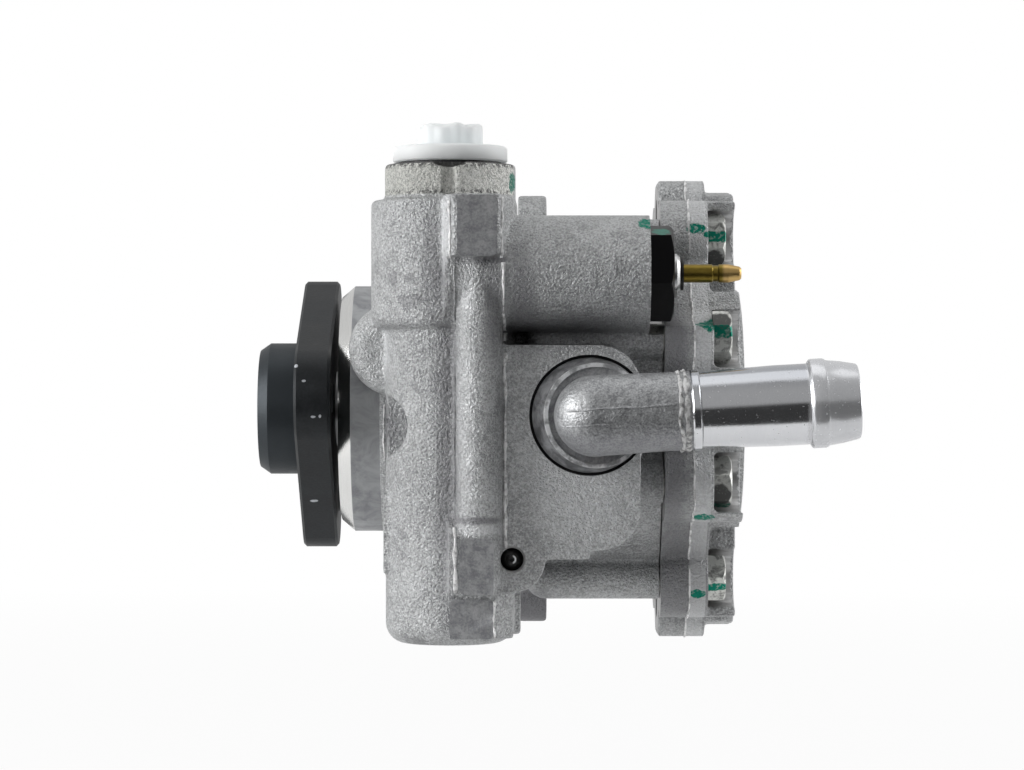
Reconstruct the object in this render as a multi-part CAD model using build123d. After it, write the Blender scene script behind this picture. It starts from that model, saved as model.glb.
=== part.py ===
from build123d import *
import math
import os

# Power steering pump: a vane pump with its shaft along X, millimetres, +Z up.
# The origin is on the shaft's axis at the housing's front shoulder, -Y is the valve side.

# Housing casting along the shaft
housing_length = 62.6
nose_length = 9.4
nose_radius = 28.1
nose_face_radius = 25.6
nose_chamfer_length = 2.9
nose_clear_radius = 30.6
shoulder_radius = 29.3
shoulder_length = 7.0
cavity_radius = 33.0
barrel_wall = 5.6
barrel_radius = cavity_radius + barrel_wall
barrel_start = housing_length - 36.6
beyond = 80.0

# Upright column with the pressure port on top
column_x = 15.9
column_y = 0.6 - barrel_radius
column_radius = 14.1
column_bottom = -50.9
column_round = 4.5
collar_x = 14.6
collar_radius = 16.0
collar_low_round = 2.6
collar_high_round = 1.2
collar_bottom = 17.6
collar_top = 45.7
port_boss_radius = 14.3
port_boss_top = 53.5
port_notch_width = 2.7
port_notch_depth = 1.4
port_thread_radius = 8.0
port_thread_depth = 14.0
passage_radius = 4.6
passage_bottom = -38.0
web_half_width = 9.0
web_half_height = 36.0
land_width = 10.0
land_reach = 0.4
land_bottom = -35.5
land_top = -16.7

# Long rib on the column, with a pad at each end
rib_x = 22.2
rib_y = column_y - 14.0
rib_radius = 5.2
rib_end_inset = 2.0
top_pad_face = column_y - 20.8
top_pad_bottom = 33.0
top_pad_top = 46.2
bottom_pad_face = column_y - 19.0
bottom_pad_bottom = -39.5
bottom_pad_top = -27.1
bottom_pad_slope = 3.4
pad_left = 17.1
pad_right = 26.7
pad_draft = 3.0
pad_flare = 2.2
pad_side_depth = 9.5
pad_root = 6.0
bottom_pad_flare = 1.4
bottom_pad_inset = 1.0
foot_face = column_y - 14.3
foot_inset = 1.0
foot_side_depth = 3.6
foot_rise = 1.6

# Flat pad for the suction elbow
elbow_pad_right = housing_length - 5.5
elbow_pad_left = elbow_pad_right - 29.4
elbow_pad_face = -barrel_radius - 13.4
elbow_x = elbow_pad_right - 11.0
elbow_z = -1.1
elbow_pad_bottom = -30.2
elbow_pad_top = 14.1
elbow_pad_round = 9.0
elbow_pad_root = -24.0
elbow_spot_radius = 13.0
elbow_spot_depth = 2.5
inlet_passage_radius = 7.0

# Narrow step beside the column's lower end
step_right = 31.3
step_front = -35.0
step_back = -24.0
step_bottom = -49.4
step_top = -30.0

# Small side lug with its drilled and sealed hole
side_hole_x = elbow_pad_left + 1.7
side_hole_z = -32.1
side_hole_radius = 2.5
side_hole_depth = 9.0
side_lug_radius = 7.2
sealing_ball_depth = 3.2

# Level boss for the flow control valve
valve_y = -barrel_radius - 5.9
valve_z = 29.6
valve_boss_radius = 12.6
valve_boss_start = 15.0
valve_boss_end = housing_length - 3.5
valve_bore_radius = 8.0
valve_bore_start = valve_boss_end - 32.1
valve_thread_radius = 9.0
valve_thread_length = 9.0
valve_root_depth = -20.0
valve_root_end = 6.0
valve_root_low = 10.0
valve_root_high = 8.0
valve_passage_radius = 2.0

# Round lobe and spot face on the housing's front
lobe_x = 3.7
lobe_z = 13.2
lobe_radius = 10.2
lobe_face = column_y - 1.0
lobe_round = 4.5
lobe_root = -12.0
spot_x = -0.1
spot_z = -3.4
spot_radius = 7.0
spot_face = column_y - 3.5

# Mounting ears of the housing
ear_start = housing_length - 31.8
ear_thickness = 6.5
ear_end = ear_start + ear_thickness
ear_radius = 7.5
ear_z = barrel_radius + 2.8
ear_hole_radius = 4.25

# Cover, its screws and their bosses
bolt_count = 8
bolt_circle_radius = barrel_radius + 2.7
bolt_radius = 3.0
bolt_depth = 16.0
bolt_hole_spare = 2.0
bolt_head_flats = 10.0
bolt_head_height = 4.1
bolt_boss_radius = 4.6
bolt_boss_start = housing_length - 25.6
cover_flange_thickness = 10.6
cover_waist_radius = barrel_radius + 1.6
cover_boss_radius = 8.8
cover_spigot_length = 1.0
cover_ear_round = 5.0
cover_ear_radius = bolt_circle_radius + 10.7
cover_ear_half_width = 10.0
cover_ear_hole_z = cover_ear_radius - 7.4
cover_ear_hole_radius = 3.4
cover_rear_radius = bolt_circle_radius + 8.0
cover_rear_height = 6.5
cover_rear_half_width = 16.0
cover_rear_half_height = 26.0
cover_disc_radius = 27.2
cover_disc_height = 1.5
bolt_pocket_radius = 6.5
valve_relief_radius = 11.6

# Drive side
shaft_radius = 8.5
flange_gap = 1.4
flange_thickness = 8.0
flange_lobe_count = 3
flange_lobe_circle = 22.5
flange_lobe_radius = 11.5
flange_turn = 6.5
flange_edge = 0.6
flange_hole_radius = 3.4
hub_radius = 15.0
hub_length = 9.4
hub_chamfer = 2.3
hub_recess = 2.0
centre_mouth_radius = 3.6
centre_drill_radius = 1.4
centre_cone_depth = 3.0
centre_drill_depth = 7.0

# Ball bearing, its clip and the shaft seal
bearing_outer_radius = 20.0
bearing_width = 12.0
bearing_inset = 1.3
bearing_gap = 0.05
bearing_space = bearing_outer_radius - shaft_radius
bearing_ring_wall = bearing_space * 0.305
ball_count = 8
ball_radius = bearing_space * 0.29
ball_circle_radius = shaft_radius + bearing_space / 2
race_radius = ball_radius + 0.08
inner_ring_radius = shaft_radius + bearing_ring_wall
outer_ring_bore = bearing_outer_radius - bearing_ring_wall
cage_wall = 2.1
cage_inner_radius = ball_circle_radius - cage_wall / 2
cage_outer_radius = ball_circle_radius + cage_wall / 2
cage_width = 8.4
clip_thickness = 1.75
clip_groove_depth = 1.25
clip_height = 3.4
clip_opening = 8.4
seal_radius = 15.0
seal_width = 7.0
seal_wall = 1.4
seal_inset = 0.5
seal_lip_length = 4.2
seal_spring_radius = 0.7

# Pump pack in the cavity
pack_gap = 0.05
spring_space = 2.4
hub_bore_radius = 14.0
hub_bore_depth = 4.0
hub_groove_start = 2.4
preload_thickness = 0.9
rotor_clip_thickness = 1.1
rotor_clip_depth = 1.1
rotor_clip_rise = 1.4
rotor_clip_opening = 4.4
plate_thickness = 7.6
cam_width = 14.0
rear_plate_thickness = 6.6
cam_outer_radius = 29.8
cam_minor_radius = 21.6
cam_lift = 2.4
cam_turn = 30.0
rotor_radius = 21.5
rotor_side_gap = 0.03
vane_count = 10
vane_thickness = 1.56
vane_height = 7.6
vane_side_gap = 0.02
vane_travel = 1.5
vane_first_angle = 9.0
slot_root_radius = 1.5
spline_count = 18
spline_outer = 8.0
spline_depth = 0.7
spline_gap = 0.06
journal_radius = 6.5
journal_end = 12.0
bush_wall = 2.0
pin_radius = 1.8
pin_circle_radius = 26.0
pin_depth = 4.0
plate_bore_radius = 10.6
port_radius = 23.0
port_width = 2.6
port_sweep = 34.0
port_turn = 45.0
blind_port_depth = 2.5

# Seals and fits
fit_gap = 0.02
running_gap = 0.03
o_ring_radius = 1.0
o_ring_seat = 0.1
cover_seal_radius = cavity_radius + 2.2

# Suction elbow
elbow_collar_radius = 12.4
elbow_crest_radius = 11.2
elbow_crest_height = 4.6
elbow_crest_shift = 1.4
elbow_crest_wall = 0.8
elbow_crest_depth = 1.2
elbow_spigot_radius = 9.5
elbow_spigot_length = 9.5
spigot_groove = 4.0
elbow_axis_y = elbow_pad_face - 16.5
elbow_tilt = 3.2
elbow_body_radius = 8.6
elbow_body_shift = 0.8
elbow_neck_radius = 8.3
elbow_neck_start = 15.0
elbow_cast_length = 23.0
elbow_ridge = 0.8
nipple_start_radius = 7.95
nipple_radius = 8.5
nipple_taper_length = 15.5
nipple_land_length = 7.0
nipple_bead_radius = 9.4
nipple_bead_length = 3.6
nipple_barb_length = 7.0
nipple_tip_radius = 7.75
elbow_bore_radius = 6.4

# Valve plug with its terminal
plug_flats = 19.0
plug_turn = 13.0
plug_head_length = 5.2
plug_hole_radius = 3.6
plug_inset = 2.0
plug_chamfer = 0.9
plug_groove_width = 2.4
terminal_radius = 2.0
terminal_length = 12.6
terminal_neck_start = 6.2
terminal_neck_length = 1.6
terminal_neck_depth = 0.25
terminal_tip_length = 2.8
terminal_tip_radius = 1.35
terminal_stub = 0.8
terminal_shank_radius = 1.5
terminal_hole_gap = 0.05
washer_land = 0.8
washer_tab_width = 2.0
washer_radius = 4.25
washer_thickness = 1.7
washer_tab = 1.1
disc_radius = 3.7
disc_thickness = 0.5

# Valve spool and its springs
spool_length = 16.0
spool_rest_gap = 1.0
spool_land_length = 4.0
spool_waist_length = 2.5
spool_waist_depth = 1.6
spool_nose = 3.0
feed_hole_radius = 1.0
spool_gap = 0.03
valve_spring_radius = 5.6
valve_spring_wire = 1.1
valve_spring_turns = 3.5
relief_ball_radius = 2.4
relief_bore_radius = 3.2
relief_spring_wire = 0.6
relief_spring_turns = 4.0
relief_seat_length = 2.4
relief_screw_length = 1.8

# Transport plug in the pressure port
cap_disc_radius = 12.5
cap_disc_thickness = 3.5
cap_stem_wall = 1.45
cap_stem_gap = 0.15
cap_socket_radius = 3.4
cap_lift = 0.5
cap_stem_length = 10.0
cap_knob_radius = 7.3
cap_knob_height = 4.9
cap_knob_lobes = 10
cap_knob_flute = 0.7
cap_flute_radius = 1.5
cap_flute_turn = 18.0
cap_washer_width = 3.2

# Places worked out from the sizes above
nose_front = -nose_length
flange_rear = nose_front - flange_gap
flange_front = flange_rear - flange_thickness
hub_front = flange_front - hub_length
bearing_start = nose_front + clip_thickness + bearing_inset
bearing_end = bearing_start + bearing_width
bearing_middle = (bearing_start + bearing_end) / 2
seal_start = bearing_end + seal_inset
seal_end = seal_start + seal_width
rear_plate_end = housing_length - cover_spigot_length
rear_plate_start = rear_plate_end - rear_plate_thickness
cam_start = rear_plate_start - cam_width
front_plate_start = cam_start - plate_thickness
cavity_start = front_plate_start - spring_space
hub_bore_start = cavity_start - hub_bore_depth
rotor_start = cam_start + rotor_side_gap
rotor_end = rear_plate_start - rotor_side_gap
cover_seat = housing_length + cover_flange_thickness
cover_back = cover_seat + cover_rear_height
journal_start = rear_plate_start + 2.0
shaft_end = rear_plate_end + journal_end
pack_radius = cavity_radius - pack_gap
spool_start = valve_bore_start + spool_rest_gap
spool_end = spool_start + spool_length
plug_thread_start = valve_boss_end - valve_thread_length
terminal_start = valve_boss_end + plug_head_length + washer_thickness + disc_thickness


def rod_x(radius, start, end, y=0.0, z=0.0):
    # round bar along X
    return Pos((start + end) / 2, y, z) * Rot(0, 90, 0) * Cylinder(radius, end - start)


def rod_y(radius, start, end, x=0.0, z=0.0):
    # round bar along Y
    return Pos(x, (start + end) / 2, z) * Rot(90, 0, 0) * Cylinder(radius, end - start)


def rod_z(radius, start, end, x=0.0, y=0.0):
    # round bar along Z
    return Pos(x, y, (start + end) / 2) * Cylinder(radius, end - start)


def block(x_low, x_high, y_low, y_high, z_low, z_high):
    # plain block between two corners
    middle = Pos((x_low + x_high) / 2, (y_low + y_high) / 2, (z_low + z_high) / 2)
    return middle * Box(x_high - x_low, y_high - y_low, z_high - z_low)


def turned(points, y=0.0, z=0.0):
    # solid turned about a line along X from (x, radius) points
    profile = make_face(Polyline(*points, close=True))
    return Pos(0, y, z) * revolve(profile, Axis.X)


def prism_z(points, low, high):
    # upright prism on (x, y) corners
    face = make_face(Polyline(*points, close=True))
    return Pos(0, 0, low) * extrude(face, amount=high - low, dir=(0, 0, 1))


def across_x(sketch, start, end):
    # push a sketch drawn in Y and Z along X
    placed = Plane((start, 0, 0), x_dir=(0, 1, 0), z_dir=(1, 0, 0)) * sketch
    return extrude(placed, amount=end - start)


def ring_x(outer, inner, start, end, y=0.0, z=0.0):
    # flat ring about a line along X
    return rod_x(outer, start, end, y, z) - rod_x(inner, start - 1, end + 1, y, z)


def torus_x(ring_radius, section_radius, x, y=0.0, z=0.0):
    # round ring about a line along X
    return Pos(x, y, z) * Rot(0, 90, 0) * Torus(ring_radius, section_radius)


def on_circle(radius, degrees):
    # point on a circle about the shaft or another axis
    turn = math.radians(degrees)
    return radius * math.cos(turn), radius * math.sin(turn)


def bolt_places():
    step = 360 / bolt_count
    return [on_circle(bolt_circle_radius, step * (number + 0.5)) for number in range(bolt_count)]


def cam_radius(degrees):
    # the cam's inner radius rises and falls twice in a turn
    swing = math.cos(math.radians(2 * (degrees - cam_turn)))
    return cam_minor_radius + cam_lift / 2 * (1 + swing)


def pin_places():
    # the pins stand where the cam ring is thickest
    return [on_circle(pin_circle_radius, cam_turn + turn) for turn in (90, 270)]


def rounded_rod_z(radius, start, end, x, y, low_round, high_round):
    # round bar along Z with rounded rims
    bar = rod_z(radius, start, end, x, y)
    rims = bar.edges().filter_by(GeomType.CIRCLE).sort_by(Axis.Z)
    if low_round > 0:
        bar = fillet(rims[0], low_round)
        rims = bar.edges().filter_by(GeomType.CIRCLE).sort_by(Axis.Z)
    if high_round > 0:
        bar = fillet(rims[-1], high_round)
    return bar


def spline_face(outer, depth):
    # toothed outline of the shaft's spline or of the rotor's bore
    points = []
    for tooth in range(spline_count):
        for share, radius in ((0.0, outer), (0.3, outer), (0.5, outer - depth), (0.8, outer - depth)):
            points.append(on_circle(radius, 360 / spline_count * (tooth + share)))
    return make_face(Polyline(*points, close=True))


def arc_port(middle, start, end):
    # kidney shaped cutter about the shaft, centred on an angle
    path = CenterArc((0, 0), port_radius, middle - port_sweep / 2, port_sweep)
    return across_x(SlotArc(path, port_width), start, end)


def housing_casting():
    # turned nose and barrel
    nose = turned([
        (nose_front, 0),
        (nose_front, nose_face_radius),
        (nose_front + nose_chamfer_length, nose_radius),
        (0, nose_radius),
        (0, shoulder_radius),
        (shoulder_length, shoulder_radius),
        (barrel_start, barrel_radius),
        (housing_length, barrel_radius),
        (housing_length, 0),
    ])
    # round lobe that leads from the nose to the column
    lobe = rod_y(lobe_radius, lobe_face, lobe_root, lobe_x, lobe_z)
    lobe_rim = lobe.edges().filter_by(GeomType.CIRCLE).sort_by(Axis.Y)[0]
    lobe = fillet(lobe_rim, lobe_round)
    # column, its wide collar and the port boss
    column = rounded_rod_z(column_radius, column_bottom, collar_top - 1, column_x, column_y, column_round, 0)
    collar = rounded_rod_z(
        collar_radius, collar_bottom, collar_top, collar_x, column_y, collar_low_round, collar_high_round
    )
    boss = rounded_rod_z(port_boss_radius, collar_top - 2, port_boss_top, column_x, column_y, 0, 0.5)
    web_left = column_x - web_half_width
    web_right = column_x + web_half_width
    web = block(web_left, web_right, column_y, 0.0, -web_half_height, web_half_height)
    land = block(
        column_x - column_radius - land_reach,
        column_x,
        column_y - land_width / 2,
        column_y + land_width / 2,
        land_bottom,
        land_top,
    )
    # rib with a pad at each end
    rib_low = bottom_pad_bottom + rib_end_inset
    rib_high = top_pad_top - rib_end_inset
    rib = rod_z(rib_radius, rib_low, rib_high, rib_x, rib_y)
    rib_root = block(rib_x - rib_radius, rib_x + rib_radius, rib_y, column_y, rib_low, rib_high)
    top_pad = prism_z([
        (pad_left, top_pad_face),
        (pad_right, top_pad_face),
        (pad_right + pad_draft, top_pad_face + pad_side_depth),
        (pad_right + pad_draft, column_y + pad_root),
        (pad_left - pad_flare, column_y + pad_root),
        (pad_left - pad_flare, top_pad_face + pad_flare),
    ], top_pad_bottom, top_pad_top)
    bottom_pad_outline = make_face(Polyline(
        (column_y, bottom_pad_bottom),
        (bottom_pad_face, bottom_pad_bottom),
        (bottom_pad_face, bottom_pad_top),
        (bottom_pad_face + bottom_pad_slope, bottom_pad_top + bottom_pad_slope),
        (column_y, bottom_pad_top + bottom_pad_slope),
        close=True,
    ))
    bottom_pad_left = pad_left - bottom_pad_flare
    bottom_pad = across_x(bottom_pad_outline, bottom_pad_left, pad_right - bottom_pad_inset)
    foot = prism_z([
        (pad_left + foot_inset, foot_face),
        (pad_right - foot_inset, foot_face),
        (pad_right + pad_draft, foot_face + foot_side_depth),
        (pad_right + pad_draft, column_y + pad_root),
        (column_x, column_y + pad_root),
    ], column_bottom + foot_rise, bottom_pad_top)
    step = block(column_x, step_right, step_front, step_back, step_bottom, step_top)
    # flat pad for the elbow, with the side lug below it
    pad_face = Pos((elbow_pad_left + elbow_pad_right) / 2, (elbow_pad_bottom + elbow_pad_top) / 2)
    pad_face = pad_face * RectangleRounded(
        elbow_pad_right - elbow_pad_left,
        elbow_pad_top - elbow_pad_bottom,
        elbow_pad_round,
    )
    pad_plane = Plane((0, elbow_pad_face, 0), x_dir=(1, 0, 0), z_dir=(0, -1, 0))
    elbow_pad = extrude(pad_plane * pad_face, amount=elbow_pad_face - elbow_pad_root)
    elbow_root = block(pad_right, elbow_x, elbow_pad_face, elbow_pad_root, side_hole_z, elbow_pad_top)
    side_lug = rod_y(side_lug_radius, elbow_pad_face, column_y, side_hole_x, side_hole_z)
    # level boss for the valve
    valve_boss = rod_x(valve_boss_radius, valve_boss_start, valve_boss_end, valve_y, valve_z)
    valve_root = block(
        barrel_start,
        valve_boss_end - valve_root_end,
        valve_y,
        valve_root_depth,
        valve_z - valve_root_low,
        valve_z + valve_root_high,
    )
    casting = nose + lobe + column + collar + boss + web + land
    casting = casting + rib + rib_root + top_pad + bottom_pad + foot + step
    casting = casting + elbow_pad + elbow_root + side_lug + valve_boss + valve_root
    # bosses for the cover's screws, with round front ends
    for y, z in bolt_places():
        bar = rod_x(bolt_boss_radius, bolt_boss_start, housing_length, y, z)
        casting = casting + bar + Pos(bolt_boss_start, y, z) * Sphere(bolt_boss_radius)
    # mounting ears above and below the barrel
    for side in (-1, 1):
        ear = rod_x(ear_radius, ear_start, ear_end, 0, side * ear_z)
        neck = block(ear_start, ear_end, -ear_radius, ear_radius, min(0, side * ear_z), max(0, side * ear_z))
        casting = casting + ear + neck
    return casting


def make_housing():
    body = housing_casting()
    # turned clear round the pilot, so that the bracket passes the lobe
    body = body - ring_x(nose_clear_radius, nose_radius, nose_front - 1, 0)
    # stepped bore for the bearing, the seal and the shaft
    bores = turned([
        (nose_front - 1, 0),
        (nose_front - 1, bearing_outer_radius + fit_gap),
        (bearing_end, bearing_outer_radius + fit_gap),
        (bearing_end, seal_radius + fit_gap),
        (seal_end + 0.4, seal_radius + fit_gap),
        (seal_end + 0.4, shaft_radius + 0.6),
        (hub_bore_start, shaft_radius + 0.6),
        (hub_bore_start, hub_bore_radius),
        (cavity_start, hub_bore_radius),
        (cavity_start, cavity_radius),
        (housing_length + 1, cavity_radius),
        (housing_length + 1, 0),
    ])
    body = body - bores
    groove_radius = bearing_outer_radius + clip_groove_depth
    groove_start = bearing_start - clip_thickness - 0.1
    body = body - ring_x(groove_radius, bearing_outer_radius - 1, groove_start, bearing_start)
    # groove for the cover's seal
    body = body - torus_x(cover_seal_radius, o_ring_radius + o_ring_seat, housing_length - o_ring_radius)
    # pressure port, its passage and the valve bore
    thread_end = port_boss_top - port_thread_depth
    body = body - rod_z(port_thread_radius, thread_end, port_boss_top + 1, column_x, column_y)
    body = body - rod_z(passage_radius, passage_bottom, port_boss_top, column_x, column_y)
    notch_front = column_y - port_boss_radius
    body = body - block(
        column_x - port_notch_width / 2,
        column_x + port_notch_width / 2,
        notch_front - 1,
        notch_front + port_notch_depth,
        collar_top + 0.4,
        port_boss_top + 1,
    )
    body = body - rod_x(valve_bore_radius, valve_bore_start, valve_boss_end + 1, valve_y, valve_z)
    body = body - rod_x(valve_thread_radius, plug_thread_start, valve_boss_end + 1, valve_y, valve_z)
    body = body - rod_x(valve_passage_radius, column_x, valve_bore_start + 1, column_y - 2.5, valve_z)
    # room for the hex plug beside the barrel
    body = body - rod_x(valve_relief_radius, valve_boss_end, housing_length + 1, valve_y, valve_z)
    # bore and spot face for the elbow
    spot_floor = elbow_pad_face + elbow_spot_depth
    spigot_end = spot_floor + elbow_spigot_length
    bore_radius = elbow_spigot_radius + fit_gap
    body = body - rod_y(bore_radius, elbow_pad_face - 1, spigot_end + 0.3, elbow_x, elbow_z)
    body = body - rod_y(inlet_passage_radius, spigot_end, -cavity_radius + 6, elbow_x, elbow_z)
    body = body - rod_y(elbow_spot_radius, elbow_pad_face - 1, spot_floor, elbow_x, elbow_z)
    # drilled hole in the side lug
    side_hole_end = elbow_pad_face + side_hole_depth
    body = body - rod_y(side_hole_radius, elbow_pad_face - 1, side_hole_end, side_hole_x, side_hole_z)
    # spot face beside the nose
    body = body - rod_y(spot_radius, -beyond, spot_face, spot_x, spot_z)
    # screw holes for the cover
    for y, z in bolt_places():
        hole_start = housing_length - bolt_depth - bolt_hole_spare
        body = body - rod_x(bolt_radius + fit_gap, hole_start, housing_length + 1, y, z)
    for side in (-1, 1):
        body = body - rod_x(ear_hole_radius, ear_start - 1, ear_end + 1, 0, side * ear_z)
    return body


def make_rear_cover():
    # outline with two ears and a round boss at each screw
    outline = across_x(
        RectangleRounded(2 * cover_ear_half_width, 2 * cover_ear_radius, cover_ear_round),
        housing_length,
        cover_back,
    )
    outline = outline + rod_x(cover_waist_radius, housing_length, cover_back)
    for y, z in bolt_places():
        outline = outline + rod_x(cover_boss_radius, housing_length, cover_back, y, z)
    cover = outline & rod_x(beyond, housing_length, cover_seat)
    # raised rear part, narrow above and below so that the outer screws stand free
    disc = outline & rod_x(cover_rear_radius, cover_seat - 1, cover_back)
    low = cover_seat - 1
    half_width = cover_rear_half_width
    half_height = cover_rear_half_height
    upright = block(low, cover_back, -half_width, half_width, -beyond, beyond)
    level = block(low, cover_back, -beyond, beyond, -half_height, half_height)
    rear = (disc & upright) + (disc & level)
    cover = cover + rear + rod_x(cover_disc_radius, cover_back - 1, cover_back + cover_disc_height)
    # screw holes with pockets that open outwards
    for y, z in bolt_places():
        cover = cover - rod_x(bolt_radius + fit_gap, housing_length - 1, cover_back + 1, y, z)
        cover = cover - rod_x(bolt_pocket_radius, cover_seat, cover_back + 1, y, z)
        side = 1 if y > 0 else -1
        cover = cover - block(
            cover_seat,
            cover_back + 1,
            min(y, side * beyond),
            max(y, side * beyond),
            z - bolt_pocket_radius,
            z + bolt_pocket_radius,
        )
    # scoop that clears the hex plug of the valve
    cover = cover - rod_x(valve_relief_radius, housing_length - 1, cover_back + 1, valve_y, valve_z)
    # spigot in the cavity, bore for the bush and holes for the pins
    cover = cover + rod_x(pack_radius, rear_plate_end, housing_length + 1)
    bush_radius = journal_radius + running_gap + bush_wall
    cover = cover - rod_x(bush_radius + fit_gap, rear_plate_end - 1, shaft_end + 1.5)
    pin_hole_end = rear_plate_end + pin_depth + 0.5
    for y, z in pin_places():
        cover = cover - rod_x(pin_radius + fit_gap, rear_plate_end - 1, pin_hole_end, y, z)
    for side in (-1, 1):
        hole_z = side * cover_ear_hole_z
        cover = cover - rod_x(cover_ear_hole_radius, housing_length - 1, cover_back + 1, 0, hole_z)
    return cover


def make_cover_bolts():
    bolts = []
    for number, (y, z) in enumerate(bolt_places()):
        shank = rod_x(bolt_radius, housing_length - bolt_depth, cover_seat + 1, y, z)
        head_face = RegularPolygon(bolt_head_flats / 2, 6, major_radius=False, rotation=11 * number)
        head = across_x(head_face, cover_seat, cover_seat + bolt_head_height)
        top = cover_seat + bolt_head_height
        dome = turned([
            (cover_seat - 1, 0),
            (cover_seat - 1, bolt_head_flats),
            (top - 0.8, bolt_head_flats / 2 + 0.9),
            (top, bolt_head_flats / 2 - 0.2),
            (top, 0),
        ])
        bolts.append(shank + Pos(0, y, z) * (head & dome))
    return Compound(children=bolts)


def make_cover_seal():
    return torus_x(cover_seal_radius, o_ring_radius, housing_length - o_ring_radius)


def make_drive_flange():
    # three round lobes joined by straight flanks
    turns = [180 - flange_turn + 360 / flange_lobe_count * lobe for lobe in range(flange_lobe_count)]
    centres = [on_circle(flange_lobe_circle, turn) for turn in turns]
    outline = make_hull([Pos(y, z) * Circle(flange_lobe_radius).edges()[0] for y, z in centres])
    plate = across_x(outline, flange_front, flange_rear)
    rims = plate.edges().group_by(Axis.X)
    plate = chamfer(rims[0] + rims[-1], flange_edge)
    hub = turned([
        (hub_front, 0),
        (hub_front, hub_radius - hub_chamfer * 0.7),
        (hub_front + hub_chamfer, hub_radius),
        (flange_front + 1, hub_radius),
        (flange_front + 1, 0),
    ])
    flange = plate + hub - rod_x(shaft_radius + fit_gap, hub_front - 1, flange_rear + 1)
    for y, z in centres:
        flange = flange - rod_x(flange_hole_radius, flange_front - 1, flange_rear + 1, y, z)
    return flange


def make_drive_shaft():
    start = hub_front + hub_recess
    body = turned([
        (start, 0),
        (start, shaft_radius - 1),
        (start + 1, shaft_radius),
        (rotor_start - 1, shaft_radius),
        (rotor_start - 1, spline_outer - spline_depth),
        (journal_start, spline_outer - spline_depth),
        (journal_start, journal_radius),
        (shaft_end - 0.6, journal_radius),
        (shaft_end, journal_radius - 0.6),
        (shaft_end, 0),
    ])
    teeth = across_x(spline_face(spline_outer, spline_depth), rotor_start - 1, journal_start)
    # centre hole in the front end, and a groove for the rotor's clip
    centre_hole = turned([
        (start - 1, 0),
        (start - 1, centre_mouth_radius),
        (start + centre_cone_depth, centre_drill_radius),
        (start + centre_drill_depth, centre_drill_radius),
        (start + centre_drill_depth + centre_drill_radius / 2, 0),
    ])
    groove_floor = spline_outer - rotor_clip_depth - 0.1
    groove_end = rotor_end + rotor_clip_thickness + 0.2
    groove = ring_x(spline_outer + 1, groove_floor, rotor_end + 0.1, groove_end)
    return body + teeth - centre_hole - groove


def make_bearing_outer_ring():
    ring = ring_x(bearing_outer_radius, outer_ring_bore, bearing_start, bearing_end)
    return ring - torus_x(ball_circle_radius, race_radius, bearing_middle)


def make_bearing_inner_ring():
    ring = ring_x(inner_ring_radius, shaft_radius + fit_gap, bearing_start, bearing_end)
    return ring - torus_x(ball_circle_radius, race_radius, bearing_middle)


def ball_places():
    return [on_circle(ball_circle_radius, 360 / ball_count * number) for number in range(ball_count)]


def make_bearing_cage():
    half = cage_width / 2
    cage = ring_x(cage_outer_radius, cage_inner_radius, bearing_middle - half, bearing_middle + half)
    for y, z in ball_places():
        cage = cage - Pos(bearing_middle, y, z) * Sphere(ball_radius + bearing_gap)
    return cage


def make_bearing_balls():
    return Compound(children=[Pos(bearing_middle, y, z) * Sphere(ball_radius) for y, z in ball_places()])


def make_bearing_circlip():
    outer = bearing_outer_radius + clip_groove_depth - 0.1
    inner = bearing_outer_radius + clip_groove_depth - clip_height
    start = bearing_start - clip_thickness - 0.05
    clip = ring_x(outer, inner, start, start + clip_thickness)
    gap = block(start - 1, start + clip_thickness + 1, -clip_opening / 2, clip_opening / 2, 0, outer + 2)
    return clip - gap


def make_shaft_seal():
    # pressed cup with a lip on the shaft
    lip = shaft_radius + running_gap
    return turned([
        (seal_start, lip + 1.6),
        (seal_start, seal_radius),
        (seal_end, seal_radius),
        (seal_end, seal_radius - seal_wall),
        (seal_start + seal_wall, seal_radius - seal_wall),
        (seal_start + seal_wall, lip + 2.8),
        (seal_start + seal_lip_length, lip + 1.3),
        (seal_start + seal_lip_length, lip),
        (seal_start + seal_lip_length - 0.5, lip),
    ])


def make_seal_spring():
    ring = shaft_radius + running_gap + 1.3 + seal_spring_radius + 0.35
    return torus_x(ring, seal_spring_radius, seal_start + seal_lip_length)


def make_rear_bush():
    inner = journal_radius + running_gap
    return ring_x(inner + bush_wall, inner, rear_plate_end + 0.2, shaft_end)


def make_front_plate():
    plate = rod_x(pack_radius, front_plate_start, cam_start)
    hub_end = hub_bore_start + 0.6
    plate = plate + rod_x(hub_bore_radius - pack_gap, hub_end, front_plate_start + 1)
    plate = plate - rod_x(plate_bore_radius, hub_end - 1, cam_start + 1)
    groove_middle = hub_bore_start + hub_groove_start
    groove_radius = hub_bore_radius - o_ring_radius
    groove_floor = groove_radius - o_ring_radius
    plate = plate - ring_x(hub_bore_radius + 1, groove_floor, groove_middle - 1.2, groove_middle + 1.2)
    for turn in (cam_turn, cam_turn + 180):
        plate = plate - arc_port(turn + port_turn, front_plate_start - 1, cam_start + 1)
        plate = plate - arc_port(turn - port_turn, cam_start - blind_port_depth, cam_start + 1)
    for y, z in pin_places():
        plate = plate - rod_x(pin_radius + fit_gap, front_plate_start - 1, cam_start + 1, y, z)
    return plate


def make_front_plate_o_ring():
    groove_middle = hub_bore_start + hub_groove_start
    return torus_x(hub_bore_radius - o_ring_radius, o_ring_radius - fit_gap, groove_middle)


def make_preload_spring():
    # one coned washer round the front plate's hub
    inner = hub_bore_radius + 0.6
    outer = cavity_radius - 6
    high = front_plate_start - fit_gap
    return turned([
        (cavity_start, outer),
        (cavity_start + preload_thickness, outer),
        (high, inner),
        (high - preload_thickness, inner),
    ])


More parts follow.
